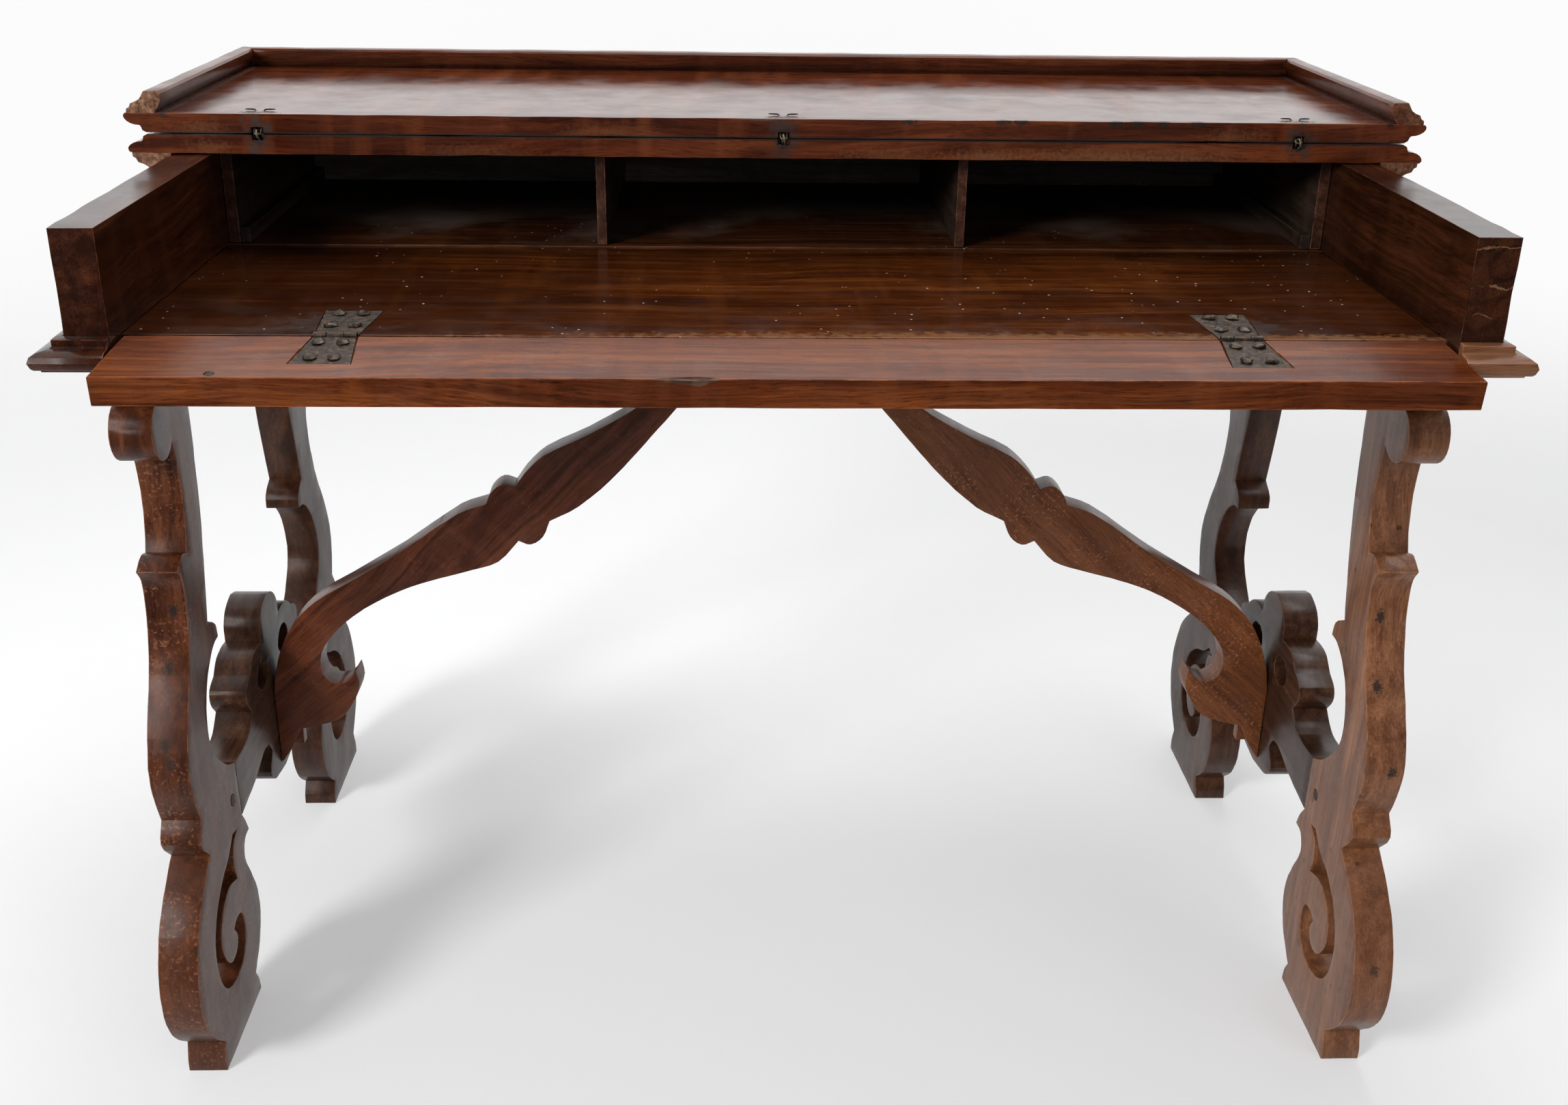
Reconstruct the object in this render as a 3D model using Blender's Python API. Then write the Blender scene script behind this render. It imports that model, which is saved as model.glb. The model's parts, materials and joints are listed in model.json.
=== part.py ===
"""A writing desk: a shallow case on two carved trestles, with a fall front and a folding lid.

Sizes are in metres and +Z is up. The origin lies on the ground under the middle of the desk, with
the front towards -Y. The pieces are placed from the middle of the case, at x = 0, and from its
front, at y = 0, under one empty that sets the whole desk over the origin.
"""

import math

import bmesh
import bpy
from mathutils import Matrix, Vector
from mathutils.geometry import interpolate_bezier, tessellate_polygon

# Clearances
GAP = 0.0003
FALL_SIDE_GAP = 0.002
FALL_TOP_GAP = 0.001
FALL_FACE_GAP = 0.0005
KNUCKLE_GAP = 0.0005
WIRE_PLAY = 0.0005

# Stand
LEG_HEIGHT = 0.685
STAND_HALF_DEPTH = 0.3572
LEG_THICKNESS = 0.039
LEG_STEP = 0.009
RAIL_HEIGHT = 0.0594
RAIL_END = 0.0227
RAIL_ROUND = 0.020
STRETCHER_THICKNESS = 0.0314
BATTEN_THICKNESS = 0.020
BATTEN_WIDTH = 0.120
BATTEN_LENGTH = 0.500

# Joints of the stand
HEAD_TENON = Vector((0.013, 0.045, 0.030))
CROSS_TENON = Vector((0.013, 0.034, 0.050))
STRETCHER_TENON = Vector((0.012, 0.025, 0.050))
PEG_RADIUS = 0.006
PEG_FROM_SEAM = 0.0225

# Case
FALL_WIDTH = 1.098
CHEEK_THICKNESS = 0.037
CHEEK_RISE = 0.0935
CASE_DEPTH = 0.695
FLOOR_THICKNESS = 0.024
FLOOR_HOUSING = 0.010
WRITING_DEPTH = 0.345
REAR_FLOOR_RISE = 0.0015
BACK_THICKNESS = 0.015
FITTING_SETBACK = 0.003
LINER_THICKNESS = 0.0112
DIVIDER_THICKNESS = 0.010
DIVIDER_SPACING = 0.360
GUIDE_WIDTH = 0.010
GUIDE_HEIGHT = 0.015
BASE_WIDTH = 0.023
BASE_RISE = 0.0065
BASE_LIFT = 0.0015

# Fall
FALL_THICKNESS = 0.0255
FALL_DROOP = math.radians(4.3)
STUD_RADIUS = 0.004
STUD_LENGTH = 0.008
STUD_FROM_AXIS = 0.085
STUD_FROM_END = 0.092

# Lid
LID_JOINT = 0.320
LEAF_THICKNESS = 0.019
LEAF_OVERHANG = 0.0155
LEAF_FRONT_OVERHANG = 0.0275
NOSING = 0.0255
CORNICE_HEIGHT = 0.0200

# Plate hinges of the fall
PLATE_FROM_END = 0.172
PLATE_THICKNESS = 0.002
PLATE_NECK = 0.036
PLATE_END = 0.050
FLOOR_PLATE_LENGTH = 0.078
FALL_PLATE_LENGTH = 0.064
KNUCKLE_RADIUS = 0.0032
FALL_KNUCKLE_LENGTH = 0.014
PIN_RADIUS = 0.0014
FLOOR_NAIL_ROWS = (0.028, 0.065)
FALL_NAIL_ROWS = (0.017, 0.051)
NAIL_SPACING = 0.020
NAIL_RADIUS = 0.0018
NAIL_LENGTH = 0.014
NAIL_HEAD_RADIUS = 0.0045
NAIL_HEAD_HEIGHT = 0.0015
NAIL_HEAD_PROFILE = ((1, 0), (0.9, 0.6), (0.5, 1))

# Wire hinges of the lid
WIRE_HINGE_FROM_CHEEK = 0.047
EYE_RADIUS = 0.0042
EYE_NECK = 0.0084
EYE_WIRE = 0.0010
STAPLE_WIRE = 0.0009
WIRE_BEND = 0.0013
TAIL_LENGTH = 0.012

# Fineness of the round shapes
CURVE_STEPS = 3
NOSING_STEPS = 5
ROUND_SIDES = 16
HOLE_SIDES = 12
WIRE_SIDES = 6
WIRE_STEPS = 8
NAIL_SIDES = 8
FIRST_SIDE = Vector((0.3, 0.5, 0.8))

# Carved outlines, drawn in millimetres as smooth runs that meet at corners.
# A leg and a cross-piece go by the distance out from the middle of the stand, then the height.
SEAM = ((170.3, 210.4), (170.3, 273.5))
SCROLL_CENTRE = Vector((239.3, 657.1))
SCROLL_RADIUS = 27.9
SCROLL_TURN = 227
LEG_NECK = ((212, 587), (217, 548), (223, 531))
LEG_EDGES = (
    ((223, 531), (236, 533.5), (253.5, 523.5)),
    ((253.5, 523.5), (244.5, 511), (242.5, 494), (247.5, 460), (261, 421), (283, 382), (298.5, 342),
     (297.5, 313), (286, 278)),
    ((286, 278), (297, 257), (277, 232)),
    ((277, 232), (311, 207.5), (337.5, 180), (352, 147), (357.2, 111), (349.5, 78), (332, 53),
     (310, 32)),
    ((310, 32), (316, 14), (316, 0)),
    ((316, 0), (184, 0)),
    ((184, 0), (186, 13), (194, 27.5)),
    ((194, 27.5), (169, 49), (154, 78), (153, 106), (166, 137), (178.5, 163), (171, 180.5),
     (154.5, 183)),
    ((154.5, 183), (161, 198), SEAM[0]),
    SEAM,
    (SEAM[1], (190.5, 283), (210.5, 299.5), (229.5, 323), (233, 347), (224, 378), (204.5, 402),
     (184, 414.5), (168, 416)),
    ((168, 416), (171, 431.5), (192, 444.5)),
)
LEG_INNER_EDGE = ((192, 444.5), (184, 480), (172, 536), (165.5, 597), (162.5, 648), (162, 670))
LEG_SLOT = (
    ((207.5, 209.5), (228, 195), (257.5, 183), (285, 161.5), (299.5, 130), (295.5, 95), (277, 72.5),
     (245, 65.5), (219, 75), (207, 99), (212.5, 117.5), (227, 122), (240, 117.5)),
    ((240, 117.5), (232.5, 104), (243, 90), (263, 92), (278.5, 114), (278, 139), (263, 157.5),
     (240, 167), (222, 163.5), (210.5, 159.5)),
    ((210.5, 159.5), (215, 178), (208.5, 199), (193, 206.5)),
    ((193, 206.5), (207.5, 209.5)),
)
CROSS_UPPER = (
    (SEAM[1], (140, 272), (115, 276), (96, 290)),
    ((96, 290), (108.5, 306), (107, 321), (88.5, 330)),
    ((88.5, 330), (72, 342.5), (55, 345.5), (37, 344.5)),
    ((37, 344.5), (35.5, 362), (22, 377), (0, 383.5)),
)
CROSS_LOWER = (
    ((0, 170), (30, 174), (47, 178), (58.5, 193), (44, 213)),
    ((44, 213), (55, 226.5), (76, 228), (114.5, 217.5), SEAM[0]),
)
CROSS_PIERCING = Vector((44, 309))
CROSS_PIERCING_AXES = Vector((20, 16))

# A stretcher goes by the distance from the middle of the desk, then the height.
STRETCHER_HEAD = ((5, 724), (55, 724))
STRETCHER_END = ((553.5, 269), (553.5, 180))
STRETCHER_EDGES = (
    STRETCHER_HEAD,
    (STRETCHER_HEAD[1], (85, 668), (140, 610), (200, 573), (245, 551), (266, 531), (278, 514)),
    ((278, 514), (291, 517.5), (303, 508), (308.5, 495.5)),
    ((308.5, 495.5), (339, 484.5), (399, 442.5), (459, 405), (498, 381.5), (521.5, 358), (538, 330),
     (549, 297), STRETCHER_END[0]),
    STRETCHER_END,
    (STRETCHER_END[1], (541, 198.5), (529.5, 223)),
    ((529.5, 223), (506.5, 228.5), (483, 237), (468, 256.5), (459, 278), (461.5, 296)),
    ((461.5, 296), (471, 284), (486, 281), (498, 294), (496.5, 318.5), (482, 341.5), (457.5, 364),
     (421, 386.5), (381.5, 403), (325.5, 419), (298.5, 428.5), (276, 453)),
    ((276, 453), (263, 448.5), (249.5, 458), (242, 476)),
    ((242, 476), (210.5, 492.5), (176, 523), (137, 566.5), (80, 634), STRETCHER_HEAD[0]),
)

# Moulding profiles in shares of their width and height, from the piece that carries them outwards
BASE_PROFILE = (
    (0, 1), (0.33, 0.95), (0.33, 0.76), (0.39, 0.71), (0.74, 0.67), (0.93, 0.57), (1, 0.41), (0.93, 0.24),
    (0.85, 0.17), (0.67, 0.155), (0.67, 0.09), (0.43, 0.03), (0.17, 0), (0, 0),
)
NOSING_BEAD = ((0, 0), (0.2, 0.03), (0.35, 0.13), (0.39, 0.33))
NOSING_ROUND = ((0.44, 0.385), (1, 0.87))
NOSING_ARRIS = (0.92, 1)
CORNICE_OUTER = (
    (0.88, 0), (0.86, 0.16), (0.75, 0.24), (0.68, 0.42), (0.48, 0.5), (0.33, 0.62), (0.23, 0.83), (0.15, 1),
)
CORNICE_INNER = ((0.65, 1), (0.77, 0.86), (0.76, 0.56), (0.58, 0.27), (0.25, 0))

# Places that follow from the sizes
OUTLINE_TOP = SCROLL_CENTRE.y + SCROLL_RADIUS
RISE_SCALE = LEG_HEIGHT / OUTLINE_TOP
REACH_SCALE = STAND_HALF_DEPTH / max(point[0] for run in LEG_EDGES for point in run)
SEAM_REACH = SEAM[0][0] * REACH_SCALE
SEAM_MIDDLE = (SEAM[0][1] + SEAM[1][1]) / 2 * RISE_SCALE
RAIL_BOTTOM = LEG_HEIGHT + GAP
CASE_BOTTOM = RAIL_BOTTOM + RAIL_HEIGHT + GAP
BATTEN_BOTTOM = CASE_BOTTOM - GAP - BATTEN_THICKNESS
WRITING_TOP = CASE_BOTTOM + FLOOR_THICKNESS
REAR_FLOOR_TOP = WRITING_TOP + REAR_FLOOR_RISE
CHEEK_TOP = WRITING_TOP + CHEEK_RISE
CHEEK_INNER = FALL_WIDTH / 2 + FALL_SIDE_GAP
CHEEK_OUTER = CHEEK_INNER + CHEEK_THICKNESS
TRESTLE_INNER = CHEEK_OUTER + LEG_STEP - LEG_THICKNESS
TRESTLE_MIDDLE = TRESTLE_INNER + LEG_THICKNESS / 2
STAND_MIDDLE = CASE_DEPTH / 2
FALL_AXIS = Vector((0, FALL_THICKNESS + FALL_FACE_GAP, WRITING_TOP))
FALL_DEPTH = CHEEK_RISE - FALL_TOP_GAP
PLATE_MIDDLE = FALL_WIDTH / 2 - PLATE_FROM_END
FALL_EDGE = (FALL_THICKNESS * math.sin(FALL_DROOP) + GAP) / (1 + math.cos(FALL_DROOP))
WRITING_FRONT = FALL_AXIS.y + FALL_EDGE
CASE_BACK = CASE_DEPTH - BACK_THICKNESS - GAP
FITTING_FRONT = WRITING_DEPTH + FITTING_SETBACK
LID_AXIS = Vector((0, LID_JOINT, CHEEK_TOP + LEAF_THICKNESS + 1.5 * GAP))
LEAF_HALF = CHEEK_OUTER + LEAF_OVERHANG
FRONT_LEAF_REACH = LID_JOINT + LEAF_FRONT_OVERHANG
REAR_LEAF_REACH = CASE_DEPTH + LEAF_OVERHANG - LID_JOINT
MITRE_GAP = GAP * math.sqrt(2)
WIRE_HINGE_SPACING = CHEEK_INNER - WIRE_HINGE_FROM_CHEEK
EYE_HALF_WIDTH = 2 * EYE_WIRE + GAP / 2
STAPLE_HALF = EYE_HALF_WIDTH + WIRE_PLAY + STAPLE_WIRE
WIRE_NOTCH_RADIUS = EYE_RADIUS + EYE_WIRE + 2 * WIRE_PLAY
WIRE_NOTCH_HALF = STAPLE_HALF + STAPLE_WIRE + 2 * WIRE_PLAY
EYE_HOLE_RADIUS = EYE_HALF_WIDTH + EYE_WIRE
HEAD_MIDDLE = (LEG_INNER_EDGE[-1][0] + SCROLL_CENTRE.x) / 2 * REACH_SCALE
STRETCHER_END_MIDDLE = (STRETCHER_END[0][1] + STRETCHER_END[1][1]) / 2 * RISE_SCALE
STUD_PLACE = Vector((STUD_FROM_END - FALL_WIDTH / 2, -STUD_FROM_AXIS, 0))
SIDES = ((-1, "left"), (1, "right"))


# Modelling helpers

def clear_scene():
    for item in list(bpy.data.objects):
        bpy.data.objects.remove(item, do_unlink=True)


def material(name, colour, roughness, metallic=0.0):
    made = bpy.data.materials.new(name)
    made.use_nodes = True
    shader = made.node_tree.nodes["Principled BSDF"]
    shader.inputs["Base Color"].default_value = (*colour, 1.0)
    shader.inputs["Roughness"].default_value = roughness
    shader.inputs["Metallic"].default_value = metallic
    return made


def empty(name, parent, location, tilt=0.0):
    made = bpy.data.objects.new(name, None)
    made.parent = parent
    made.location = location
    made.rotation_euler.x = tilt
    bpy.context.scene.collection.objects.link(made)
    return made


def place(name, mesh, surface, parent, location=(0, 0, 0), turn=0.0):
    """Set a mesh into the desk as one named piece, turned about its upright axis."""
    mesh.materials.clear()
    mesh.materials.append(surface)
    mesh.shade_smooth()
    mesh.set_sharp_from_angle(angle=math.radians(35))
    made = bpy.data.objects.new(name, mesh)
    made.parent = parent
    made.location = location
    made.rotation_euler.z = turn
    bpy.context.scene.collection.objects.link(made)
    return made


def finished(shape):
    bmesh.ops.recalc_face_normals(shape, faces=shape.faces)
    mesh = bpy.data.meshes.new("shape")
    shape.to_mesh(mesh)
    shape.free()
    return mesh


def loft(rings):
    """A closed solid through rings of as many points each, capped by the first and last ring."""
    shape = bmesh.new()
    loops = [[shape.verts.new(point) for point in ring] for ring in rings]
    for low, high in zip(loops, loops[1:]):
        for i in range(len(low)):
            shape.faces.new((low[i - 1], low[i], high[i], high[i - 1]))
    shape.faces.new(loops[0])
    shape.faces.new(loops[-1])
    return finished(shape)


def box(corner, opposite):
    (x0, y0, z0), (x1, y1, z1) = corner, opposite
    plan = ((x0, y0), (x1, y0), (x1, y1), (x0, y1))
    return loft([[(x, y, z) for x, y in plan] for z in (z0, z1)])


def plate(outline, holes, thickness):
    """A board cut to an outline in y and z, with its thickness along x about x = 0."""
    contours = [outline, *holes]
    points = [point for contour in contours for point in contour]
    shape = bmesh.new()
    near = [shape.verts.new((-thickness / 2, y, z)) for y, z in points]
    far = [shape.verts.new((thickness / 2, y, z)) for y, z in points]
    flat = [[Vector((y, z, 0)) for y, z in contour] for contour in contours]
    for triangle in tessellate_polygon(flat):
        shape.faces.new([near[i] for i in triangle])
        shape.faces.new([far[i] for i in triangle])
    start = 0
    for contour in contours:
        count = len(contour)
        for i in range(count):
            a = start + i
            b = start + (i + 1) % count
            shape.faces.new((near[a], near[b], far[b], far[a]))
        start += count
    return finished(shape)


def tube(path, radius, sides):
    """A round bar along a path, with its rings square to the path's mean direction."""
    points = [Vector(point) for point in path]
    ahead = points[1:] + [2 * points[-1] - points[-2]]
    behind = [2 * points[0] - points[1]] + points[:-1]
    across = FIRST_SIDE
    rings = []
    for point, after, before in zip(points, ahead, behind):
        along = (after - before).normalized()
        across = (across - along * across.dot(along)).normalized()
        up = along.cross(across)
        angles = [2 * math.pi * i / sides for i in range(sides)]
        rings.append([point + radius * (math.cos(t) * across + math.sin(t) * up) for t in angles])
    return loft(rings)


def turned(profile, sides):
    """A solid turned about z from (radius, height) pairs, from its lower end to its upper."""
    angles = [2 * math.pi * i / sides for i in range(sides)]
    return loft([[(r * math.cos(t), r * math.sin(t), z) for t in angles] for r, z in profile])


def moved(mesh, offset):
    mesh.transform(Matrix.Translation(offset))
    return mesh


def combined(body, tool, operation):
    """The body after one exact Boolean with a tool."""
    pair = [bpy.data.objects.new("shape", mesh) for mesh in (body, tool)]
    for item in pair:
        bpy.context.scene.collection.objects.link(item)
    step = pair[0].modifiers.new("step", "BOOLEAN")
    step.operation = operation
    step.solver = "EXACT"
    step.object = pair[1]
    graph = bpy.context.evaluated_depsgraph_get()
    result = bpy.data.meshes.new_from_object(pair[0].evaluated_get(graph))
    for item in pair:
        bpy.data.objects.remove(item)
    return result


def shaped(body, joined=(), removed=()):
    """The body with some solids joined to it and then others cut out of it."""
    for tool in joined:
        body = combined(body, tool, "UNION")
    for tool in removed:
        body = combined(body, tool, "DIFFERENCE")
    return body


# Outlines

def spline(points):
    """Points along a smooth curve through the given ones, without the last."""
    points = [Vector(point) for point in points]
    chain = [2 * points[0] - points[1], *points, 2 * points[-1] - points[-2]]
    curve = []
    for before, start, end, after in zip(chain, chain[1:], chain[2:], chain[3:]):
        third = (end - start).length / 3
        leave = start + (end - before).normalized() * third
        arrive = end - (after - start).normalized() * third
        curve += interpolate_bezier(start, leave, arrive, end, CURVE_STEPS + 1)[:-1]
    return curve


def traced(runs):
    """Points along the runs of an outline, each run without its last point."""
    points = []
    for run in runs:
        points += spline(run) if len(run) > 2 else [Vector(run[0])]
    return points


def leg_outline():
    """The edge of a leg, from the top of its scroll down the front and up the inner side."""
    angles = [math.radians(90 - SCROLL_TURN * i / ROUND_SIDES) for i in range(ROUND_SIDES + 1)]
    scroll = [SCROLL_CENTRE + SCROLL_RADIUS * Vector((math.cos(t), math.sin(t))) for t in angles]
    neck = (scroll.pop(), *LEG_NECK)
    inner_top = (LEG_INNER_EDGE[-1][0], OUTLINE_TOP)
    inner = (*LEG_INNER_EDGE, inner_top)
    return [*scroll, *traced((neck, *LEG_EDGES, inner, (inner_top, scroll[0])))]


def cross_outline():
    """The edge of a cross-piece, alike on both sides of its middle."""
    half = [*traced(CROSS_LOWER), Vector(SEAM[0]), *traced(CROSS_UPPER)]
    other_half = [(-a, z) for a, z in reversed(half[1:])]
    return [*half, CROSS_UPPER[-1][-1], *other_half]


def cross_piercing(side):
    angles = [2 * math.pi * i / ROUND_SIDES for i in range(ROUND_SIDES)]
    middle = Vector((side * CROSS_PIERCING.x, CROSS_PIERCING.y))
    return [middle + CROSS_PIERCING_AXES * Vector((math.cos(t), math.sin(t))) for t in angles]


# Stand: two trestles of legs, cross-piece and rail, tied by stretchers to a batten under the case.
# A trestle is modelled about its own middle, with the front leg towards -y.

def stand_points(points, reach=REACH_SCALE):
    return [(-a * reach, z * RISE_SCALE) for a, z in points]


def head_tenon(facing, spare):
    """The tenon on a leg's top, or its mortise in the rail with some room to spare."""
    x = HEAD_TENON.x / 2 + spare
    y = HEAD_TENON.y / 2 + spare
    middle = facing * HEAD_MIDDLE
    low = (-x, middle - y, LEG_HEIGHT - HEAD_TENON.z)
    return box(low, (x, middle + y, LEG_HEIGHT + HEAD_TENON.z + spare))


def cross_tenon(facing, spare):
    """The tenon on a cross-piece's end, or its mortise in the leg with some room to spare."""
    x = CROSS_TENON.x / 2 + spare
    z = CROSS_TENON.z / 2 + spare
    low = (-x, facing * (SEAM_REACH - CROSS_TENON.y), SEAM_MIDDLE - z)
    return box(low, (x, facing * (SEAM_REACH + CROSS_TENON.y + spare), SEAM_MIDDLE + z))


def peg(facing, radius, half_length):
    y = facing * (SEAM_REACH + PEG_FROM_SEAM)
    return tube([(-half_length, y, SEAM_MIDDLE), (half_length, y, SEAM_MIDDLE)], radius, HOLE_SIDES)


def peg_hole(facing):
    return peg(facing, PEG_RADIUS + GAP, LEG_THICKNESS)


def stretcher_tenon(spare):
    """The tenon on a stretcher's outer end, out along y, or its mortise."""
    x = STRETCHER_TENON.x / 2 + spare
    z = STRETCHER_TENON.z / 2 + spare
    low = (-x, TRESTLE_INNER - STRETCHER_TENON.y, STRETCHER_END_MIDDLE - z)
    return box(low, (x, TRESTLE_INNER + STRETCHER_TENON.y + spare, STRETCHER_END_MIDDLE + z))


def leg_mesh():
    body = plate(stand_points(leg_outline()), [stand_points(traced(LEG_SLOT))], LEG_THICKNESS)
    return shaped(body, [head_tenon(-1, 0)], [cross_tenon(-1, GAP), peg_hole(-1)])


def cross_mesh():
    """A cross-piece whose inner face, with the stretcher's mortise, is towards -x."""
    reach = (SEAM_REACH - GAP) / SEAM[0][0]
    piercings = [stand_points(cross_piercing(side), reach) for side in (-1, 1)]
    body = plate(stand_points(cross_outline(), reach), piercings, LEG_THICKNESS)
    mortise = stretcher_tenon(GAP)
    mortise.transform(Matrix.Rotation(-math.pi / 2, 4, "Z"))
    moved(mortise, (-TRESTLE_MIDDLE, 0, 0))
    tenons = [cross_tenon(facing, 0) for facing in (-1, 1)]
    return shaped(body, tenons, [mortise, peg_hole(-1), peg_hole(1)])


def rail_mesh():
    """The rail on the heads of two legs, with its lower corners rounded."""
    half = SCROLL_CENTRE.x * REACH_SCALE + RAIL_END
    turns = [math.pi / 2 * i / CURVE_STEPS for i in range(CURVE_STEPS + 1)]
    corner = [(half - RAIL_ROUND * (1 - math.sin(t)), RAIL_BOTTOM + RAIL_ROUND * (1 - math.cos(t)))
              for t in turns]
    edge = [*corner, (half, RAIL_BOTTOM + RAIL_HEIGHT)]
    outline = edge + [(-y, z) for y, z in reversed(edge)]
    return shaped(plate(outline, [], LEG_THICKNESS), [], [head_tenon(-1, GAP), head_tenon(1, GAP)])


def stretcher_mesh():
    """A stretcher that runs out along y, from the batten's height to the cross-piece's."""
    drawn_low = (STRETCHER_END[0][1] + STRETCHER_END[1][1]) / 2
    widen = (TRESTLE_INNER - GAP) / STRETCHER_END[0][0]
    rise = (BATTEN_BOTTOM - GAP - STRETCHER_END_MIDDLE) / (STRETCHER_HEAD[0][1] - drawn_low)
    outline = [(y * widen, STRETCHER_END_MIDDLE + (z - drawn_low) * rise)
               for y, z in traced(STRETCHER_EDGES)]
    return shaped(plate(outline, [], STRETCHER_THICKNESS), [stretcher_tenon(0)])


def batten_mesh():
    low = Vector((-BATTEN_WIDTH / 2, -BATTEN_LENGTH / 2, BATTEN_BOTTOM))
    return box(low, (-low.x, -low.y, BATTEN_BOTTOM + BATTEN_THICKNESS))


def build_stand(desk):
    legs = leg_mesh()
    crosses = cross_mesh()
    rails = rail_mesh()
    stretchers = stretcher_mesh()
    middle = (0, STAND_MIDDLE, 0)
    place("batten", batten_mesh(), INNER_WOOD, desk, middle)
    for side, label in SIDES:
        spot = (side * TRESTLE_MIDDLE, STAND_MIDDLE, 0)
        facing_in = 0 if side > 0 else math.pi
        place(f"leg_front_{label}", legs, STAND_WOOD, desk, spot)
        place(f"leg_back_{label}", legs, STAND_WOOD, desk, spot, math.pi)
        place(f"cross_piece_{label}", crosses, STAND_WOOD, desk, spot, facing_in)
        place(f"rail_{label}", rails, STAND_WOOD, desk, spot)
        for facing, end in ((-1, "front"), (1, "back")):
            place(f"peg_{end}_{label}", peg(facing, PEG_RADIUS, LEG_THICKNESS / 2), PEG_WOOD, desk, spot)
        place(f"stretcher_{label}", stretchers, STAND_WOOD, desk, middle, -side * math.pi / 2)


# Case: cheeks, floor, back, the fittings of its compartments and the base moulding

def cheek_mesh(side):
    """A cheek with a housing along its foot for the ends of both floor boards."""
    body = box((side * CHEEK_INNER, 0, CASE_BOTTOM), (side * CHEEK_OUTER, CASE_DEPTH, CHEEK_TOP))
    inside = side * (CHEEK_INNER - FLOOR_HOUSING)
    deep = side * (CHEEK_INNER + FLOOR_HOUSING)
    below = CASE_BOTTOM - FLOOR_THICKNESS
    front = box((inside, WRITING_FRONT - GAP, below), (deep, WRITING_DEPTH + GAP, WRITING_TOP + GAP))
    rear = box((inside, WRITING_DEPTH, below), (deep, CASE_BACK + GAP, REAR_FLOOR_TOP + GAP))
    return shaped(body, [], [front, rear])


def writing_board_mesh():
    end = CHEEK_INNER + FLOOR_HOUSING - GAP
    body = box((-end, WRITING_FRONT, CASE_BOTTOM), (end, WRITING_DEPTH, WRITING_TOP))
    cuts = []
    for side, _ in SIDES:
        for cut in plate_seat(1, FLOOR_PLATE_LENGTH, FLOOR_NAIL_ROWS):
            cuts.append(moved(cut, FALL_AXIS + Vector((side * PLATE_MIDDLE, 0, 0))))
    return shaped(body, [], cuts)


def rear_floor_mesh():
    end = CHEEK_INNER + FLOOR_HOUSING - GAP
    return box((-end, WRITING_DEPTH + GAP, CASE_BOTTOM), (end, CASE_BACK, REAR_FLOOR_TOP))


def back_panel_mesh():
    end = CHEEK_INNER - GAP
    return box((-end, CASE_DEPTH - BACK_THICKNESS, CASE_BOTTOM), (end, CASE_DEPTH, CHEEK_TOP))


def fitting(side, inner, width, top):
    """A board that stands on the rear floor, from the fitting line to the back."""
    low = (side * inner, FITTING_FRONT, REAR_FLOOR_TOP + GAP)
    return box(low, (side * (inner + width), CASE_BACK, top))


def base_profile():
    height = FLOOR_THICKNESS + BASE_RISE - BASE_LIFT
    bottom = CASE_BOTTOM + BASE_LIFT
    return [(GAP + BASE_WIDTH * out, bottom + height * up) for out, up in BASE_PROFILE]


def base_side_mesh(side):
    """The moulding across a cheek's front end and along its side to the mitre at the back."""
    profile = base_profile()
    front = [(side * CHEEK_INNER, -d, z) for d, z in profile]
    corner = [(side * (CHEEK_OUTER + d), -d, z) for d, z in profile]
    back = [(side * (CHEEK_OUTER + d), CASE_DEPTH + d, z) for d, z in profile]
    return loft([front, corner, back])


def base_back_mesh():
    profile = base_profile()
    return loft([[(side * (CHEEK_OUTER + d - MITRE_GAP), CASE_DEPTH + d, z) for d, z in profile]
                 for side, _ in SIDES])


def build_case(desk):
    place("writing_board", writing_board_mesh(), FLOOR_WOOD, desk)
    place("rear_floor", rear_floor_mesh(), FLOOR_WOOD, desk)
    place("back_panel", back_panel_mesh(), INNER_WOOD, desk)
    place("base_moulding_back", base_back_mesh(), CASE_WOOD, desk)
    liner = CHEEK_INNER - GAP - LINER_THICKNESS
    guide = liner - GAP - GUIDE_WIDTH
    divider = (DIVIDER_SPACING - DIVIDER_THICKNESS) / 2
    guide_top = REAR_FLOOR_TOP + GAP + GUIDE_HEIGHT
    for side, label in SIDES:
        place(f"cheek_{label}", cheek_mesh(side), CASE_WOOD, desk)
        place(f"base_moulding_{label}", base_side_mesh(side), CASE_WOOD, desk)
        place(f"liner_{label}", fitting(side, liner, LINER_THICKNESS, CHEEK_TOP), INNER_WOOD, desk)
        place(f"divider_{label}", fitting(side, divider, DIVIDER_THICKNESS, CHEEK_TOP), INNER_WOOD, desk)
        place(f"guide_{label}", fitting(side, guide, GUIDE_WIDTH, guide_top), INNER_WOOD, desk)


# Fall front and its plate hinges, modelled about the hinge axis with the fall level.
# A plate runs to +y on the floor and to -y on the fall.

def plate_outline(facing, length, half_knuckle):
    """A plate's edge in x and y: its knuckles reach the axis, beside the other leaf's knuckles."""
    neck = PLATE_NECK / 2
    end = PLATE_END / 2
    clear = KNUCKLE_RADIUS + KNUCKLE_GAP
    if facing > 0:
        edge = [(neck, 0), (half_knuckle, 0), (half_knuckle, clear)]
    else:
        edge = [(neck, clear), (half_knuckle, clear), (half_knuckle, 0)]
    half = [(end, length), *edge]
    return [(x, facing * y) for x, y in half] + [(-x, facing * y) for x, y in reversed(half)]


def nail_places(facing, rows):
    """Two nails on a plate's diagonal."""
    return [Vector((side * NAIL_SPACING / 2, facing * row, 0)) for (side, _), row in zip(SIDES, rows)]


def upright(place_on_top, radius, depth):
    """A round hole's cutter, down from just above a top face."""
    return tube([place_on_top + Vector((0, 0, radius)), place_on_top - Vector((0, 0, depth))], radius,
                NAIL_SIDES)


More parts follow.
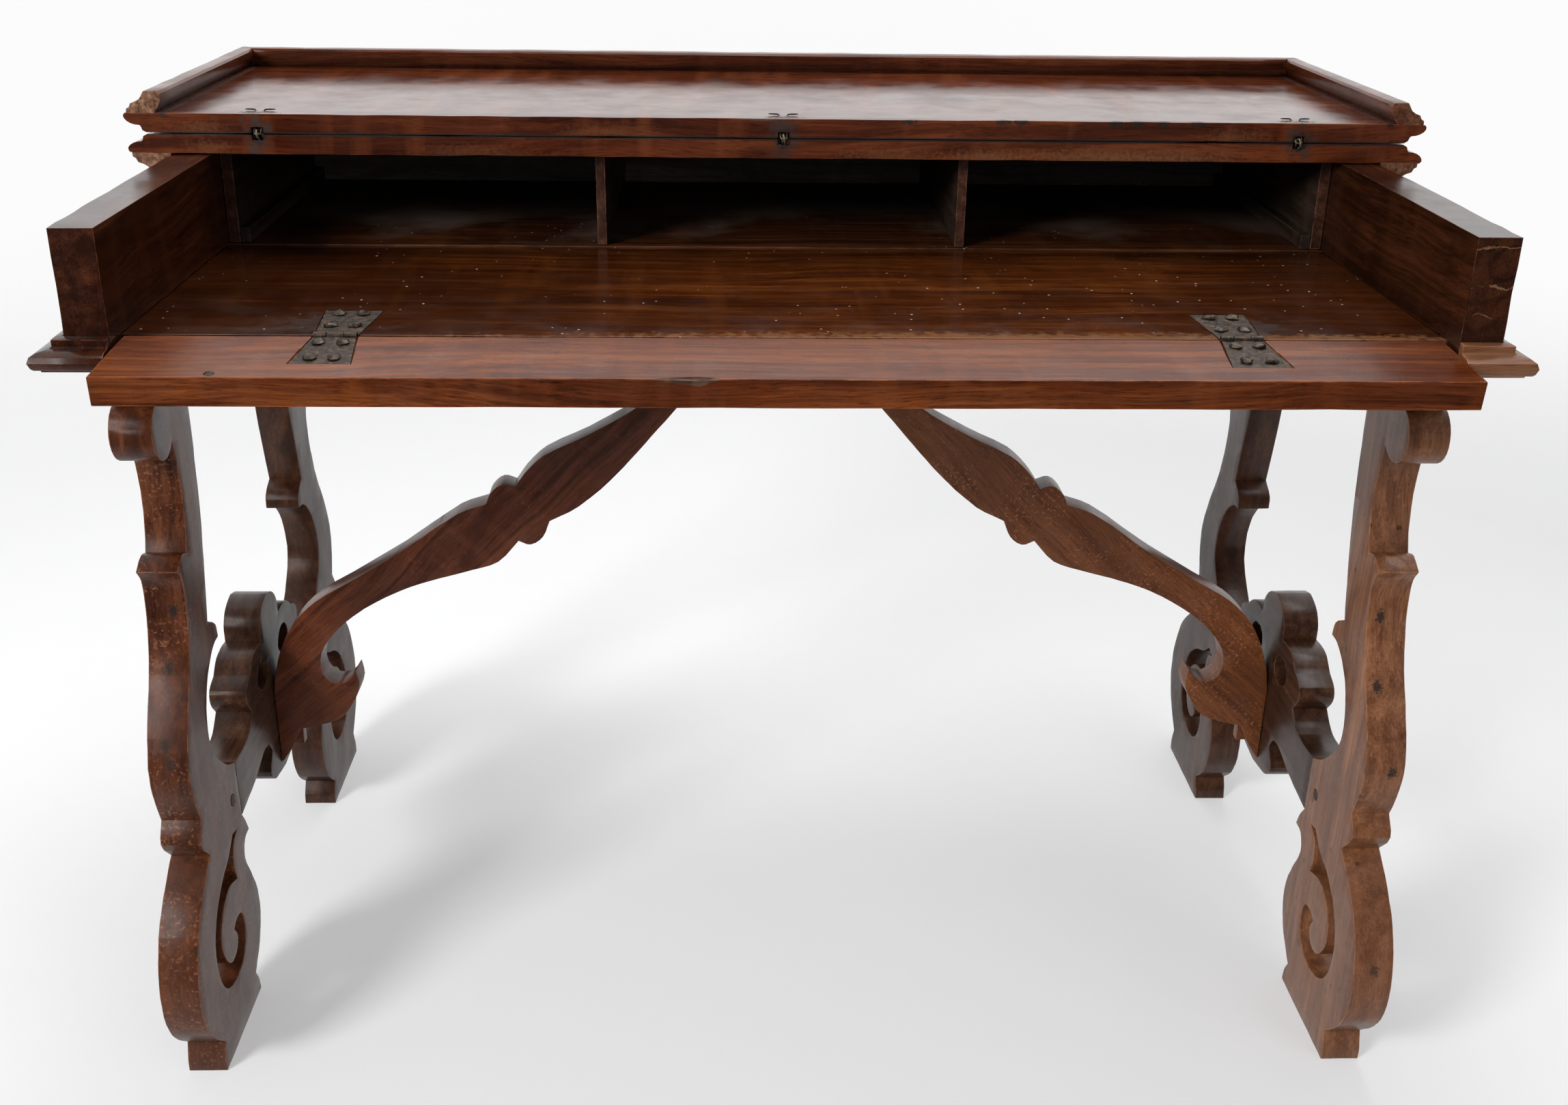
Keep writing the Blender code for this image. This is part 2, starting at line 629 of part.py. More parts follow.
def knuckle_bar(start, end, radius):
    return tube([(start, 0, 0), (end, 0, 0)], radius, ROUND_SIDES)


def plate_seat(facing, length, rows):
    """The cutters for a plate's pocket, the notch round its knuckles and its nails' holes."""
    neck = PLATE_NECK / 2 + KNUCKLE_GAP
    end = PLATE_END / 2 + GAP
    far = facing * (length + GAP)
    plan = ((-neck, 0), (neck, 0), (end, far), (-end, far))
    pocket = loft([[(x, y, z) for x, y in plan] for z in (-PLATE_THICKNESS - GAP, PLATE_THICKNESS)])
    notch = knuckle_bar(-neck, neck, KNUCKLE_RADIUS + KNUCKLE_GAP)
    holes = [upright(spot, NAIL_RADIUS + GAP, NAIL_LENGTH + GAP) for spot in nail_places(facing, rows)]
    return [pocket, notch, *holes]


def hinge_plate_mesh(facing, length, rows):
    """One leaf of a plate hinge: the floor's with two outer knuckles, the fall's with one."""
    half_knuckle = FALL_KNUCKLE_LENGTH / 2 + (KNUCKLE_GAP if facing > 0 else 0)
    plan = plate_outline(facing, length, half_knuckle)
    body = loft([[(x, y, z) for x, y in plan] for z in (-PLATE_THICKNESS, 0)])
    if facing > 0:
        neck = PLATE_NECK / 2
        bars = [knuckle_bar(side * half_knuckle, side * neck, KNUCKLE_RADIUS) for side, _ in SIDES]
    else:
        bars = [knuckle_bar(-half_knuckle, half_knuckle, KNUCKLE_RADIUS)]
    bore = knuckle_bar(-PLATE_NECK, PLATE_NECK, PIN_RADIUS + GAP)
    holes = [upright(spot, NAIL_RADIUS + GAP, NAIL_LENGTH) for spot in nail_places(facing, rows)]
    return shaped(body, bars, [bore, *holes])


def pin_mesh():
    return knuckle_bar(-PLATE_NECK / 2, PLATE_NECK / 2, PIN_RADIUS)


def nail_mesh():
    """A nail with a domed head that bears on the plate."""
    head = [(NAIL_HEAD_RADIUS * out, GAP + NAIL_HEAD_HEIGHT * up) for out, up in NAIL_HEAD_PROFILE]
    return turned([(NAIL_RADIUS, -NAIL_LENGTH), (NAIL_RADIUS, GAP), *head], NAIL_SIDES)


def fall_mesh():
    half = FALL_WIDTH / 2
    body = box((-half, -FALL_DEPTH, -FALL_THICKNESS), (half, -FALL_EDGE, 0))
    cuts = [upright(STUD_PLACE, STUD_RADIUS + GAP, STUD_LENGTH + GAP)]
    for side, _ in SIDES:
        for cut in plate_seat(-1, FALL_PLATE_LENGTH, FALL_NAIL_ROWS):
            cuts.append(moved(cut, (side * PLATE_MIDDLE, 0, 0)))
    return shaped(body, [], cuts)


def stud_mesh():
    return moved(turned(((STUD_RADIUS, -STUD_LENGTH), (STUD_RADIUS, 0)), NAIL_SIDES), STUD_PLACE)


def build_fall(desk):
    level = empty("fall_line", desk, FALL_AXIS)
    axis = empty("fall_axis", desk, FALL_AXIS, FALL_DROOP)
    place("fall", fall_mesh(), FALL_WOOD, axis)
    place("fall_stud", stud_mesh(), IRON, axis)
    nail = nail_mesh()
    floor_plate = hinge_plate_mesh(1, FLOOR_PLATE_LENGTH, FLOOR_NAIL_ROWS)
    fall_plate = hinge_plate_mesh(-1, FALL_PLATE_LENGTH, FALL_NAIL_ROWS)
    pin = pin_mesh()
    for side, label in SIDES:
        hinge = Vector((side * PLATE_MIDDLE, 0, 0))
        place(f"hinge_floor_{label}", floor_plate, IRON, level, hinge)
        place(f"hinge_fall_{label}", fall_plate, IRON, axis, hinge)
        place(f"hinge_pin_{label}", pin, IRON, level, hinge)
        for i, spot in enumerate(nail_places(1, FLOOR_NAIL_ROWS), 1):
            place(f"nail_floor_{label}_{i}", nail, IRON, level, hinge + spot)
        for i, spot in enumerate(nail_places(-1, FALL_NAIL_ROWS), 1):
            place(f"nail_fall_{label}_{i}", nail, IRON, axis, hinge + spot)


# Lid: a fixed rear leaf and a front leaf folded back on it, modelled about the joint's axis.
# The rear leaf lies below the axis (level -1) and the folded front leaf above it (level 1).

def nosing_profile():
    """The nosing's section from the joint's face: a bead, a fillet and a quarter round."""
    (start, low), (tip, high) = NOSING_ROUND
    rounded = []
    for i in range(NOSING_STEPS + 1):
        turn = math.pi / 2 * i / NOSING_STEPS
        rounded.append((start + (tip - start) * math.sin(turn), high - (high - low) * math.cos(turn)))
    return [*NOSING_BEAD, *rounded, NOSING_ARRIS]


def leaf_body(reach, level):
    """A leaf with its nosing on three sides and a plain edge at the joint."""
    rings = []
    for out, down in nosing_profile():
        x = LEAF_HALF + NOSING * out
        y = reach + NOSING * out
        z = level * (GAP / 2 + LEAF_THICKNESS * down)
        rings.append([(-x, GAP, z), (x, GAP, z), (x, y, z), (-x, y, z)])
    return loft(rings)


def slanted(distance, level, x=0.0):
    """A point at some distance from the axis, halfway between level and upright."""
    along = distance * math.sqrt(0.5)
    return Vector((x, along, level * along))


def wire_hinge_places():
    return [Vector((i * WIRE_HINGE_SPACING, 0, 0)) for i in (-1, 0, 1)]


def leaf_mesh(reach, level, holes, radius):
    """A leaf with a notch at each wire hinge and slanting holes for its wires."""
    through = 2 * LEAF_THICKNESS
    cuts = []
    for spot in wire_hinge_places():
        bar = tube([(-WIRE_NOTCH_HALF, 0, 0), (WIRE_NOTCH_HALF, 0, 0)], WIRE_NOTCH_RADIUS, ROUND_SIDES)
        cuts.append(moved(bar, spot))
        for x in holes:
            hole = tube([slanted(0, level, x), slanted(through, level, x)], radius, HOLE_SIDES)
            cuts.append(moved(hole, spot))
    return shaped(leaf_body(reach, level), [], cuts)


def tail_distance(wire):
    """How far along the slant a wire comes clear of the leaf's outer face."""
    return (GAP / 2 + LEAF_THICKNESS + GAP + wire) * math.sqrt(2)


def bent(path):
    """A path with each corner cut short, as wire bends."""
    points = [Vector(point) for point in path]
    result = [points[0]]
    for before, corner, after in zip(points, points[1:], points[2:]):
        result.append(corner + (before - corner).normalized() * WIRE_BEND)
        result.append(corner + (after - corner).normalized() * WIRE_BEND)
    return [*result, points[-1]]


def eye_mesh():
    """A wire eye round the axis; its two ends go through the rear leaf and are clenched apart."""
    apart = EYE_HALF_WIDTH - EYE_WIRE
    far = tail_distance(EYE_WIRE)
    out = slanted(1, -1)
    across = slanted(1, 1)
    opening = math.acos(EYE_RADIUS / EYE_NECK)
    loop = []
    for i in range(WIRE_STEPS + 1):
        share = i / WIRE_STEPS
        angle = opening + share * 2 * (math.pi - opening)
        point = EYE_RADIUS * (math.cos(angle) * out + math.sin(angle) * across)
        loop.append(point + Vector((apart * (2 * share - 1), 0, 0)))
    ends = []
    for side in (-1, 1):
        x = side * apart
        tail = slanted(far, -1, side * (apart + TAIL_LENGTH))
        ends.append(bent([tail, slanted(far, -1, x), slanted(EYE_NECK, -1, x)]))
    return tube([*ends[0], *loop, *reversed(ends[1])], EYE_WIRE, WIRE_SIDES)


def staple_mesh():
    """A wire staple whose bridge lies on the axis, in the eye, clenched on the front leaf."""
    far = tail_distance(STAPLE_WIRE)
    path = []
    for side in (-1, 1):
        x = side * STAPLE_HALF
        leg = [slanted(far, 1, x + side * TAIL_LENGTH), slanted(far, 1, x), (x, 0, 0)]
        path += leg if side < 0 else reversed(leg)
    return tube(bent(path), STAPLE_WIRE, WIRE_SIDES)


def cornice_profile(level):
    """A cornice's section as distances from the leaf's edge at the joint, and heights.

    The front leaf's cornice is moulded on its back too, and the rear one lies flat on the case.
    """
    face = GAP / 2 + LEAF_THICKNESS + GAP
    outer = [(NOSING * out, up) for out, up in CORNICE_OUTER]
    if level > 0:
        inner = [(-LEAF_OVERHANG * back, up) for back, up in CORNICE_INNER]
    else:
        inner = [(GAP - LEAF_OVERHANG, up) for up in (1, 0)]
    return [(d, level * (face + CORNICE_HEIGHT * up)) for d, up in outer + inner]


def cornice_side_mesh(side, reach, level):
    profile = cornice_profile(level)
    plain = [(side * (LEAF_HALF + d), GAP, z) for d, z in profile]
    mitred = [(side * (LEAF_HALF + d), reach + d, z) for d, z in profile]
    return loft([plain, mitred])


def cornice_end_mesh(reach, level):
    profile = cornice_profile(level)
    return loft([[(side * (LEAF_HALF + d - MITRE_GAP), reach + d, z) for d, z in profile]
                 for side, _ in SIDES])


def build_lid(desk):
    axis = empty("lid_axis", desk, LID_AXIS)
    rear = leaf_mesh(REAR_LEAF_REACH, -1, (0,), EYE_HOLE_RADIUS)
    front = leaf_mesh(FRONT_LEAF_REACH, 1, (-STAPLE_HALF, STAPLE_HALF), STAPLE_WIRE + GAP)
    place("lid_rear", rear, LID_WOOD, axis)
    place("lid_front", front, LID_WOOD, axis)
    place("cornice_rear_back", cornice_end_mesh(REAR_LEAF_REACH, -1), CASE_WOOD, axis)
    place("cornice_front_cross", cornice_end_mesh(FRONT_LEAF_REACH, 1), CASE_WOOD, axis)
    for side, label in SIDES:
        place(f"cornice_rear_{label}", cornice_side_mesh(side, REAR_LEAF_REACH, -1), CASE_WOOD, axis)
        place(f"cornice_front_{label}", cornice_side_mesh(side, FRONT_LEAF_REACH, 1), CASE_WOOD, axis)
    eye = eye_mesh()
    staple = staple_mesh()
    for spot, label in zip(wire_hinge_places(), ("left", "middle", "right")):
        place(f"lid_eye_{label}", eye, IRON, axis, spot)
        place(f"lid_staple_{label}", staple, IRON, axis, spot)


# Whole desk, centred over the origin

def build_desk():
    front = FALL_AXIS.y - FALL_DEPTH * math.cos(FALL_DROOP)
    back = CASE_DEPTH + LEAF_OVERHANG + NOSING
    desk = empty("desk", None, (0, -(front + back) / 2, 0))
    build_stand(desk)
    build_case(desk)
    build_fall(desk)
    build_lid(desk)


clear_scene()
STAND_WOOD = material("stand_wood", (0.150, 0.050, 0.022), 0.38)
PEG_WOOD = material("peg_wood", (0.090, 0.035, 0.018), 0.55)
CASE_WOOD = material("case_wood", (0.140, 0.040, 0.018), 0.30)
LID_WOOD = material("lid_wood", (0.150, 0.043, 0.020), 0.22)
FALL_WOOD = material("fall_wood", (0.250, 0.075, 0.035), 0.30)
FLOOR_WOOD = material("floor_wood", (0.085, 0.028, 0.016), 0.35)
INNER_WOOD = material("inner_wood", (0.110, 0.040, 0.022), 0.50)
IRON = material("iron", (0.030, 0.024, 0.021), 0.60, 0.8)
build_desk()
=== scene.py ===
"""The looks of the writing desk: worn polished walnut, forged iron hinges and a pale studio.

Each wooden piece is made anew over its solid: the sharp edges are rounded off, the faces are cut
into small cells and worn down a little, and the wood's grain runs along the board.
"""

import json
import math

import bmesh
import bpy
from mathutils import Matrix, Vector, noise


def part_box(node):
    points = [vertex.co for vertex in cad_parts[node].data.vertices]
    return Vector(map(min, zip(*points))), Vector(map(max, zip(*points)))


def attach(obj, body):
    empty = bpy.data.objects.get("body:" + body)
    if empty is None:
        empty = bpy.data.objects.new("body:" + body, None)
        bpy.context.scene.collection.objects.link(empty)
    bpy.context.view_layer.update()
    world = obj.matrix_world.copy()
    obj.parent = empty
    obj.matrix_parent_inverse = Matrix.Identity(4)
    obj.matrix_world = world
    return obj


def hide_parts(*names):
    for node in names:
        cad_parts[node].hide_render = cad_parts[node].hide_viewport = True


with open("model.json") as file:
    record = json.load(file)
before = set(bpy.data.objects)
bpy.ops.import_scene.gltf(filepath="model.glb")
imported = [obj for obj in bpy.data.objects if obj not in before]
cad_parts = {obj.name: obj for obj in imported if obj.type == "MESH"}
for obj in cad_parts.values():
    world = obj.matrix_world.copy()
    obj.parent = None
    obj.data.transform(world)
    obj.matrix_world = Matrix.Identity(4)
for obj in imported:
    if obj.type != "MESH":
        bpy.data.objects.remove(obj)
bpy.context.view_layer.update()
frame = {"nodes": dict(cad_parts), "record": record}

# Photograph and camera
IMAGE_WIDTH = 2296
FOCAL_LENGTH_PX = 2412.65
SENSOR_WIDTH = 36.0
CAMERA_PLACE = Vector((-0.0548, -1.6347, 1.1537))
CAMERA_PITCH = math.radians(23.6108)
CAMERA_YAW = math.radians(2.1639)
CAMERA_ROLL = math.radians(-0.8726)

# Working of the wood: lengths in metres, angles in radians
WELD = 1e-5
FLAT_ANGLE = math.radians(0.6)
RIM_ANGLE = math.radians(40)
SMOOTH_ANGLE = math.radians(32)
FRONT_FACING = -0.8
RUB_FINENESS = 0.35
RUB_SHIFT = Vector((7, 3, 5))
SEAT_BAND = 0.0013
SEAT_DEPTH = 0.0016
FALL_DROOP = math.radians(4.3)

# Face marks that the materials read
EDGE = "edge"
BARE = "bare"

# How far the edges of each kind of piece are rounded off
SAWN_RIM = 0.0022
RAIL_RIM = 0.002
PEG_RIM = 0.0006
CHEEK_RIM = 0.0022
BOARD_RIM = 0.0012
FITTING_RIM = 0.001
MOULDING_RIM = 0.0008
FALL_RIM = 0.0014
LEAF_RIM = 0.001
NOTCH_RIM = 0.002
NOTCH_REACH = 0.014
PLATE_RIM = 0.0004

# Wood that has split off along an edge: its middle, half its length and its depth.
# It is deepest to the right of its middle, by the lean's share of that half.
SPLIT_INWARDS = Vector((0, 0.87, -0.49))
SPLIT_LEAN = 0.4
SPLINTER = (-0.09, 0.034, 0.004)
SLIVER = (-0.03, 0.030, 0.002)

# Nails and wires; the profile gives each ring's share of a head's radius and height
NAIL_HEAD_RADIUS = 0.0058
NAIL_HEAD_HEIGHT = 0.0015
NAIL_BULGE = 2.0
NAIL_FACETS = 9
NAIL_PROFILE = ((1.0, 0.0), (1.02, 0.25), (0.72, 0.75), (0.34, 1.0))
NAIL_UNEVENNESS = 0.4
NAIL_VARIETY = 400
FACET_VARIETY = 1.3
STUD_SINK = 0.0006
STUD_HEIGHT = 0.001
WIRE_CLEAN_REACH = 0.008

SLOT_OF = {row["node"]: row["material_slot"] for row in frame["record"]["subparts"]}
BODY_OF = {node: body for body, nodes in frame["record"]["behaviour"]["bodies"].items() for node in nodes}


# Materials

MILLIMETRE = 0.001


class Graph:
    """A material's nodes, added one call at a time.

    Noise scales count changes in a metre, and a span's limits are shares of the noise's range.
    """

    def __init__(self, name):
        self.material = bpy.data.materials.new(name)
        self.material.use_nodes = True
        self.tree = self.material.node_tree
        self.shader = self.tree.nodes["Principled BSDF"]

    def feed(self, socket, value):
        if isinstance(value, bpy.types.NodeSocket):
            self.tree.links.new(value, socket)
        else:
            socket.default_value = value

    def add(self, kind, inputs, output=0, **settings):
        node = self.tree.nodes.new("ShaderNode" + kind)
        for name, value in settings.items():
            setattr(node, name, value)
        for key, value in inputs.items():
            self.feed(node.inputs[key], value)
        return node.outputs[output]

    def place(self, turn=(0, 0, 0)):
        """The place in the desk's frame, turned about the origin."""
        spot = self.add("TexCoord", {}, "Object")
        return self.add("Mapping", {"Vector": spot, "Rotation": turn})

    def scaled(self, vector, scale):
        return self.add("Mapping", {"Vector": vector, "Scale": scale})

    def away(self, spot, place, stretch):
        """How far a spot is from a place, with each axis stretched; a zero leaves that axis out."""
        offset = self.add("VectorMath", {0: spot, 1: place}, operation="SUBTRACT")
        offset = self.add("VectorMath", {0: offset, 1: stretch}, operation="MULTIPLY")
        return self.add("VectorMath", {0: offset}, "Value", operation="LENGTH")

    def noise(self, vector, scale, detail=2.0, roughness=0.5):
        values = {"Vector": vector, "Scale": scale, "Detail": detail, "Roughness": roughness}
        return self.add("TexNoise", values, "Fac")

    def calc(self, operation, a, b=0.0):
        return self.add("Math", {0: a, 1: b}, operation=operation)

    def plus(self, a, b):
        return self.calc("ADD", a, b)

    def times(self, a, *others):
        for other in others:
            a = self.calc("MULTIPLY", a, other)
        return a

    def part(self, vector, axis):
        node = self.tree.nodes.new("ShaderNodeSeparateXYZ")
        self.feed(node.inputs["Vector"], vector)
        return node.outputs[axis]

    def span(self, value, low, high, to_low=0.0, to_high=1.0):
        values = {"Value": value, "From Min": low, "From Max": high, "To Min": to_low, "To Max": to_high}
        return self.add("MapRange", values, clamp=True)

    def mix(self, factor, a, b):
        return self.add("Mix", {0: factor, 6: a, 7: b}, 2, data_type="RGBA")

    def ramp(self, value, stops):
        node = self.tree.nodes.new("ShaderNodeValToRGB")
        while len(node.color_ramp.elements) < len(stops):
            node.color_ramp.elements.new(0.5)
        for element, (position, colour) in zip(node.color_ramp.elements, stops):
            element.position = position
            element.color = (*colour, 1)
        self.feed(node.inputs["Fac"], value)
        return node.outputs["Color"]

    def attribute(self, name):
        return self.add("Attribute", {}, "Fac", attribute_name=name)

    def finish(self, roughness, height, constants):
        """Set the shader's colour and roughness, its relief in millimetres and its constants by socket."""
        self.feed(self.shader.inputs["Base Color"], self.colour)
        self.feed(self.shader.inputs["Roughness"], roughness)
        normal = self.add("Bump", {"Height": height, "Strength": 1.0, "Distance": MILLIMETRE})
        self.feed(self.shader.inputs["Normal"], normal)
        for name, value in constants.items():
            self.shader.inputs[name].default_value = value
        return self.material


DEEP_SHARE = 0.3
PALE_GAIN = 1.4
PALE_LIFT = 0.012
STRETCHER_SLOPE = math.radians(44)
GRAIN = {
    "x": (0, 0, 0),
    "y": (0, 0, -math.pi / 2),
    "z": (0, math.pi / 2, 0),
    "falling": (0, -STRETCHER_SLOPE, 0),
    "rising": (0, STRETCHER_SLOPE, 0),
}


class Wood(Graph):
    """Polished walnut with its grain along one direction; its tones go from dark to light."""

    def __init__(self, name, grain, tones):
        super().__init__(name)
        self.dark, self.mid, self.light = tones
        self.deep = [DEEP_SHARE * c for c in self.dark]
        self.pale = [PALE_GAIN * c + PALE_LIFT for c in self.light]
        self.spot = self.place(GRAIN[grain])
        sway = self.add("TexNoise", {"Vector": self.spot, "Scale": 3.0, "Detail": 2.0}, "Color")
        sway = self.add("VectorMath", {0: sway, "Scale": 0.05}, operation="SCALE")
        self.along = self.add("VectorMath", {0: self.spot, 1: sway}, operation="ADD")
        self.clouds = self.noise(self.spot, 8.0, 5.0, 0.62)
        self.dull = 0.0

    def stretched(self, lengthwise, across, detail, roughness=0.5):
        """Noise drawn out along the grain, by how often it changes in a metre each way."""
        return self.noise(self.scaled(self.along, (lengthwise, across, across)), 1.0, detail, roughness)

    def tint(self, share, colour):
        self.colour = self.mix(share, self.colour, (*colour, 1))

    def lay_grain(self, rings, curls, dirt):
        """The figure of the wood: broad bands, streaks, dark rings, pale curls, dirt and pores."""
        broad = self.stretched(0.8, 11, 1.5)
        streak = self.stretched(2.0, 80, 5.0, 0.62)
        self.fine = self.stretched(7, 480, 2.0, 0.6)
        self.pores = self.span(self.stretched(55, 1000, 1.0), 0.57, 0.70)
        figure = self.plus(self.times(streak, 0.62), self.times(broad, 0.34))
        figure = self.plus(figure, self.times(self.calc("SUBTRACT", self.fine, 0.5), 0.30))
        self.colour = self.ramp(figure, ((0.33, self.dark), (0.48, self.mid), (0.63, self.light)))
        wave = self.calc("SINE", self.times(broad, 62.0))
        ring = self.calc("POWER", self.span(wave, -1, 1), 7.0)
        self.tint(self.times(ring, rings), self.dark)
        curl = self.stretched(38, 5, 2.0)
        self.tint(self.span(curl, 0.52, 0.72, 0, curls), self.light)
        self.tint(self.span(self.clouds, 0.46, 0.70, 0, dirt), self.deep)
        self.tint(self.times(self.pores, 0.5), self.deep)

    def lay_flecks(self, strength, fineness):
        """Small pale flecks that come in patches."""
        flecks = self.span(self.noise(self.spot, fineness, 3.0, 0.6), 0.56, 0.65)
        patches = self.span(self.noise(self.spot, 17.0, 3.0), 0.40, 0.60)
        self.tint(self.times(flecks, patches, strength), self.pale)

    def lay_dents(self, strength):
        """Small dark dents, here and there."""
        near = self.add("TexVoronoi", {"Vector": self.spot, "Scale": 34.0}, "Distance")
        ragged = self.span(self.noise(self.spot, 300.0), 0.3, 0.5)
        self.tint(self.times(self.span(near, 0.06, 0.12, 1, 0), ragged, strength), self.deep)

    def lay_wear(self, wear):
        """Pale wood where the edges are rubbed."""
        rubbed = self.noise(self.scaled(self.along, (35, 110, 110)), 1.0, 4.0, 0.7)
        self.tint(self.times(self.attribute(EDGE), self.span(rubbed, 0.40, 0.62, 0.05, wear)), self.pale)

    def lay_bare(self):
        """Raw, fibrous wood where the finish is gone."""
        self.raw = self.stretched(160, 260, 5.0, 0.7)
        raw_wood = self.ramp(self.raw, RAW_TONES)
        self.stripped = self.times(self.attribute(BARE), self.span(self.clouds, 0.36, 0.52, 0.35, 1.0))
        self.colour = self.mix(self.stripped, self.colour, raw_wood)

    def lay_crack(self, height):
        """A pale crack across the front of a board, near one height."""
        spot = self.place()
        wobble = self.span(self.noise(spot, 45.0, 4.0), 0.3, 0.7, -0.005, 0.005)
        away = self.calc("ABSOLUTE", self.plus(self.part(spot, "Z"), self.calc("SUBTRACT", wobble, height)))
        line = self.span(away, 0.0002, 0.0009, 1, 0)
        front = self.span(self.part(self.add("NewGeometry", {}, "Normal"), "Y"), -0.9, -0.6, 0.8, 0)
        broken = self.span(self.noise(spot, 120.0, 3.0), 0.42, 0.55)
        self.tint(self.times(line, front, broken), CRACK_COLOUR)

    def lay_stain(self, place, radius, colour, stretch=(1, 1, 1), strength=0.85, core=0.4, dulling=1.0):
        """A ragged stain round a place, full up to a core's share of its radius; it dulls the polish too.

        A zero in stretch leaves that axis out, and over one narrows the stain along it.
        """
        spot = self.place()
        away = self.away(spot, place, stretch)
        fray = self.span(self.noise(spot, 2.5 / radius, 4.0), 0.3, 0.7, -0.5 * radius, 0.5 * radius)
        share = self.span(self.plus(away, fray), core * radius, radius, strength, 0)
        self.tint(share, colour)
        if dulling:
            self.dull = self.calc("MAXIMUM", self.dull, self.times(share, dulling))

    def lay_dust(self, amount):
        """Single pale grains of dust, in patches."""
        grains = self.add("TexVoronoi", {"Vector": self.spot, "Scale": 75.0}, "Distance")
        shown = self.span(self.noise(self.spot, 11.0, 2.0), 0.46, 0.60)
        self.tint(self.times(self.span(grains, 0.05, 0.10, amount, 0), shown), DUST_COLOUR)

    def polish(self, gloss, ior, relief):
        """Set the gloss, in patches, and the relief of grain, pores and old tool marks."""
        patches = self.noise(self.spot, 22.0, 5.0, 0.65)
        rough = self.span(patches, 0.3, 0.7, gloss - 0.06, gloss + 0.08)
        rough = self.plus(rough, self.times(self.calc("MAXIMUM", self.stripped, self.dull), 0.35))
        height = self.calc("SUBTRACT", self.times(self.fine, 0.006), self.times(self.pores, 0.006))
        height = self.plus(height, self.times(self.clouds, relief))
        height = self.plus(height, self.times(self.raw, self.stripped, 0.5))
        return self.finish(rough, height, {"IOR": ior})


def make_wood(name, grain, tones, gloss, ior=1.45, relief=0.14, rings=0.5, curls=0.3, dirt=0.3, wear=0.6,
              flecks=0.0, fineness=230.0, dents=0.0, dust=0.0, cracks=(), stains=()):
    """A finished wood, laid on from the grain to the dust."""
    wood = Wood(name, grain, tones)
    wood.lay_grain(rings, curls, dirt)
    if flecks:
        wood.lay_flecks(flecks, fineness)
    if dents:
        wood.lay_dents(dents)
    wood.lay_wear(wear)
    wood.lay_bare()
    for height in cracks:
        wood.lay_crack(height)
    for stain in stains:
        wood.lay_stain(**stain)
    if dust:
        wood.lay_dust(dust)
    return wood.polish(gloss, ior, relief)


def make_iron(name, tones, rough, metallic, clean=None):
    """Old iron, pitted and rusty in patches; its tones go from dark to rust.

    Where clean gives a place on an axis along x and a reach, the metal is black farther away.
    """
    graph = Graph(name)
    spot = graph.place()
    patches = graph.noise(spot, 210.0, 5.0, 0.7)
    pits = graph.noise(spot, 800.0, 3.0, 0.6)
    graph.colour = graph.ramp(patches, tuple(zip((0.34, 0.48, 0.58, 0.70), tones)))
    height = graph.plus(graph.times(patches, 0.6), graph.times(pits, 0.15))
    if clean:
        place, reach = clean
        away = graph.away(spot, place, (0, 1, 1))
        graph.colour = graph.mix(graph.span(away, reach, 1.3 * reach), graph.colour, (*SOOT, 1))
    return graph.finish(graph.span(patches, 0.3, 0.7, *rough), height, {"Metallic": metallic})


RAW_TONES = ((0.35, (0.040, 0.015, 0.007)), (0.50, (0.17, 0.075, 0.036)), (0.68, (0.33, 0.17, 0.09)))
CRACK_COLOUR = (0.19, 0.095, 0.048)
DUST_COLOUR = (0.50, 0.44, 0.38)
SOOT = (0.008, 0.007, 0.006)
GREASE = (0.030, 0.021, 0.018)
SHADE = (0.014, 0.0035, 0.0010)
SAPWOOD = (0.200, 0.085, 0.032)
SAPWOOD_MIDDLE = 0.28
DUST_FILM = (0.085, 0.061, 0.048)
RUBBED = (0.150, 0.058, 0.022)
SPILL = (0.006, 0.010, 0.008)
# Painted light from the white floor on the feet and lower legs, and the height where it is strongest
PAINTED_FLOOR_LIGHT = (0.26, 0.105, 0.050)
FLOOR_LIGHT_HEIGHT = 0.10
STAND_TONES = ((0.024, 0.006, 0.0024), (0.062, 0.0155, 0.005), (0.125, 0.037, 0.012))
# Painted shade: the back legs get darker, greyer tones than the front legs, for the shade under the case
SHADED_BACK_LEG_TONES = ((0.020, 0.007, 0.0035), (0.045, 0.016, 0.0075), (0.085, 0.032, 0.014))
PALE_STAND_TONES = ((0.086, 0.029, 0.012), (0.176, 0.069, 0.030), (0.285, 0.125, 0.058))
RED_STAND_TONES = ((0.046, 0.0105, 0.0036), (0.100, 0.0245, 0.0082), (0.152, 0.043, 0.0155))
MOTTLED_STAND_TONES = ((0.085, 0.025, 0.0080), (0.150, 0.047, 0.0150), (0.210, 0.073, 0.025))
DARK_STAND_TONES = ((0.016, 0.006, 0.003), (0.042, 0.017, 0.009), (0.085, 0.036, 0.018))
CASE_TONES = ((0.014, 0.0035, 0.0015), (0.036, 0.0095, 0.0036), (0.080, 0.023, 0.0085))
CRACKED_TONES = ((0.007, 0.0022, 0.0010), (0.022, 0.0065, 0.0026), (0.055, 0.016, 0.006))
LID_TONES = ((0.030, 0.0055, 0.0020), (0.084, 0.0170, 0.0048), (0.155, 0.039, 0.012))
CORNICE_TONES = ((0.026, 0.0058, 0.0024), (0.068, 0.0165, 0.0064), (0.122, 0.036, 0.0145))
FALL_TONES = ((0.030, 0.0055, 0.0008), (0.094, 0.0185, 0.0026), (0.185, 0.048, 0.0085))
FLOOR_TONES = ((0.020, 0.0045, 0.0010), (0.060, 0.0135, 0.0022), (0.120, 0.034, 0.0065))
DUSTY_TONES = ((0.016, 0.0045, 0.0014), (0.045, 0.0125, 0.0036), (0.090, 0.030, 0.010))
INNER_TONES = ((0.013, 0.008, 0.006), (0.030, 0.018, 0.0125), (0.056, 0.034, 0.024))
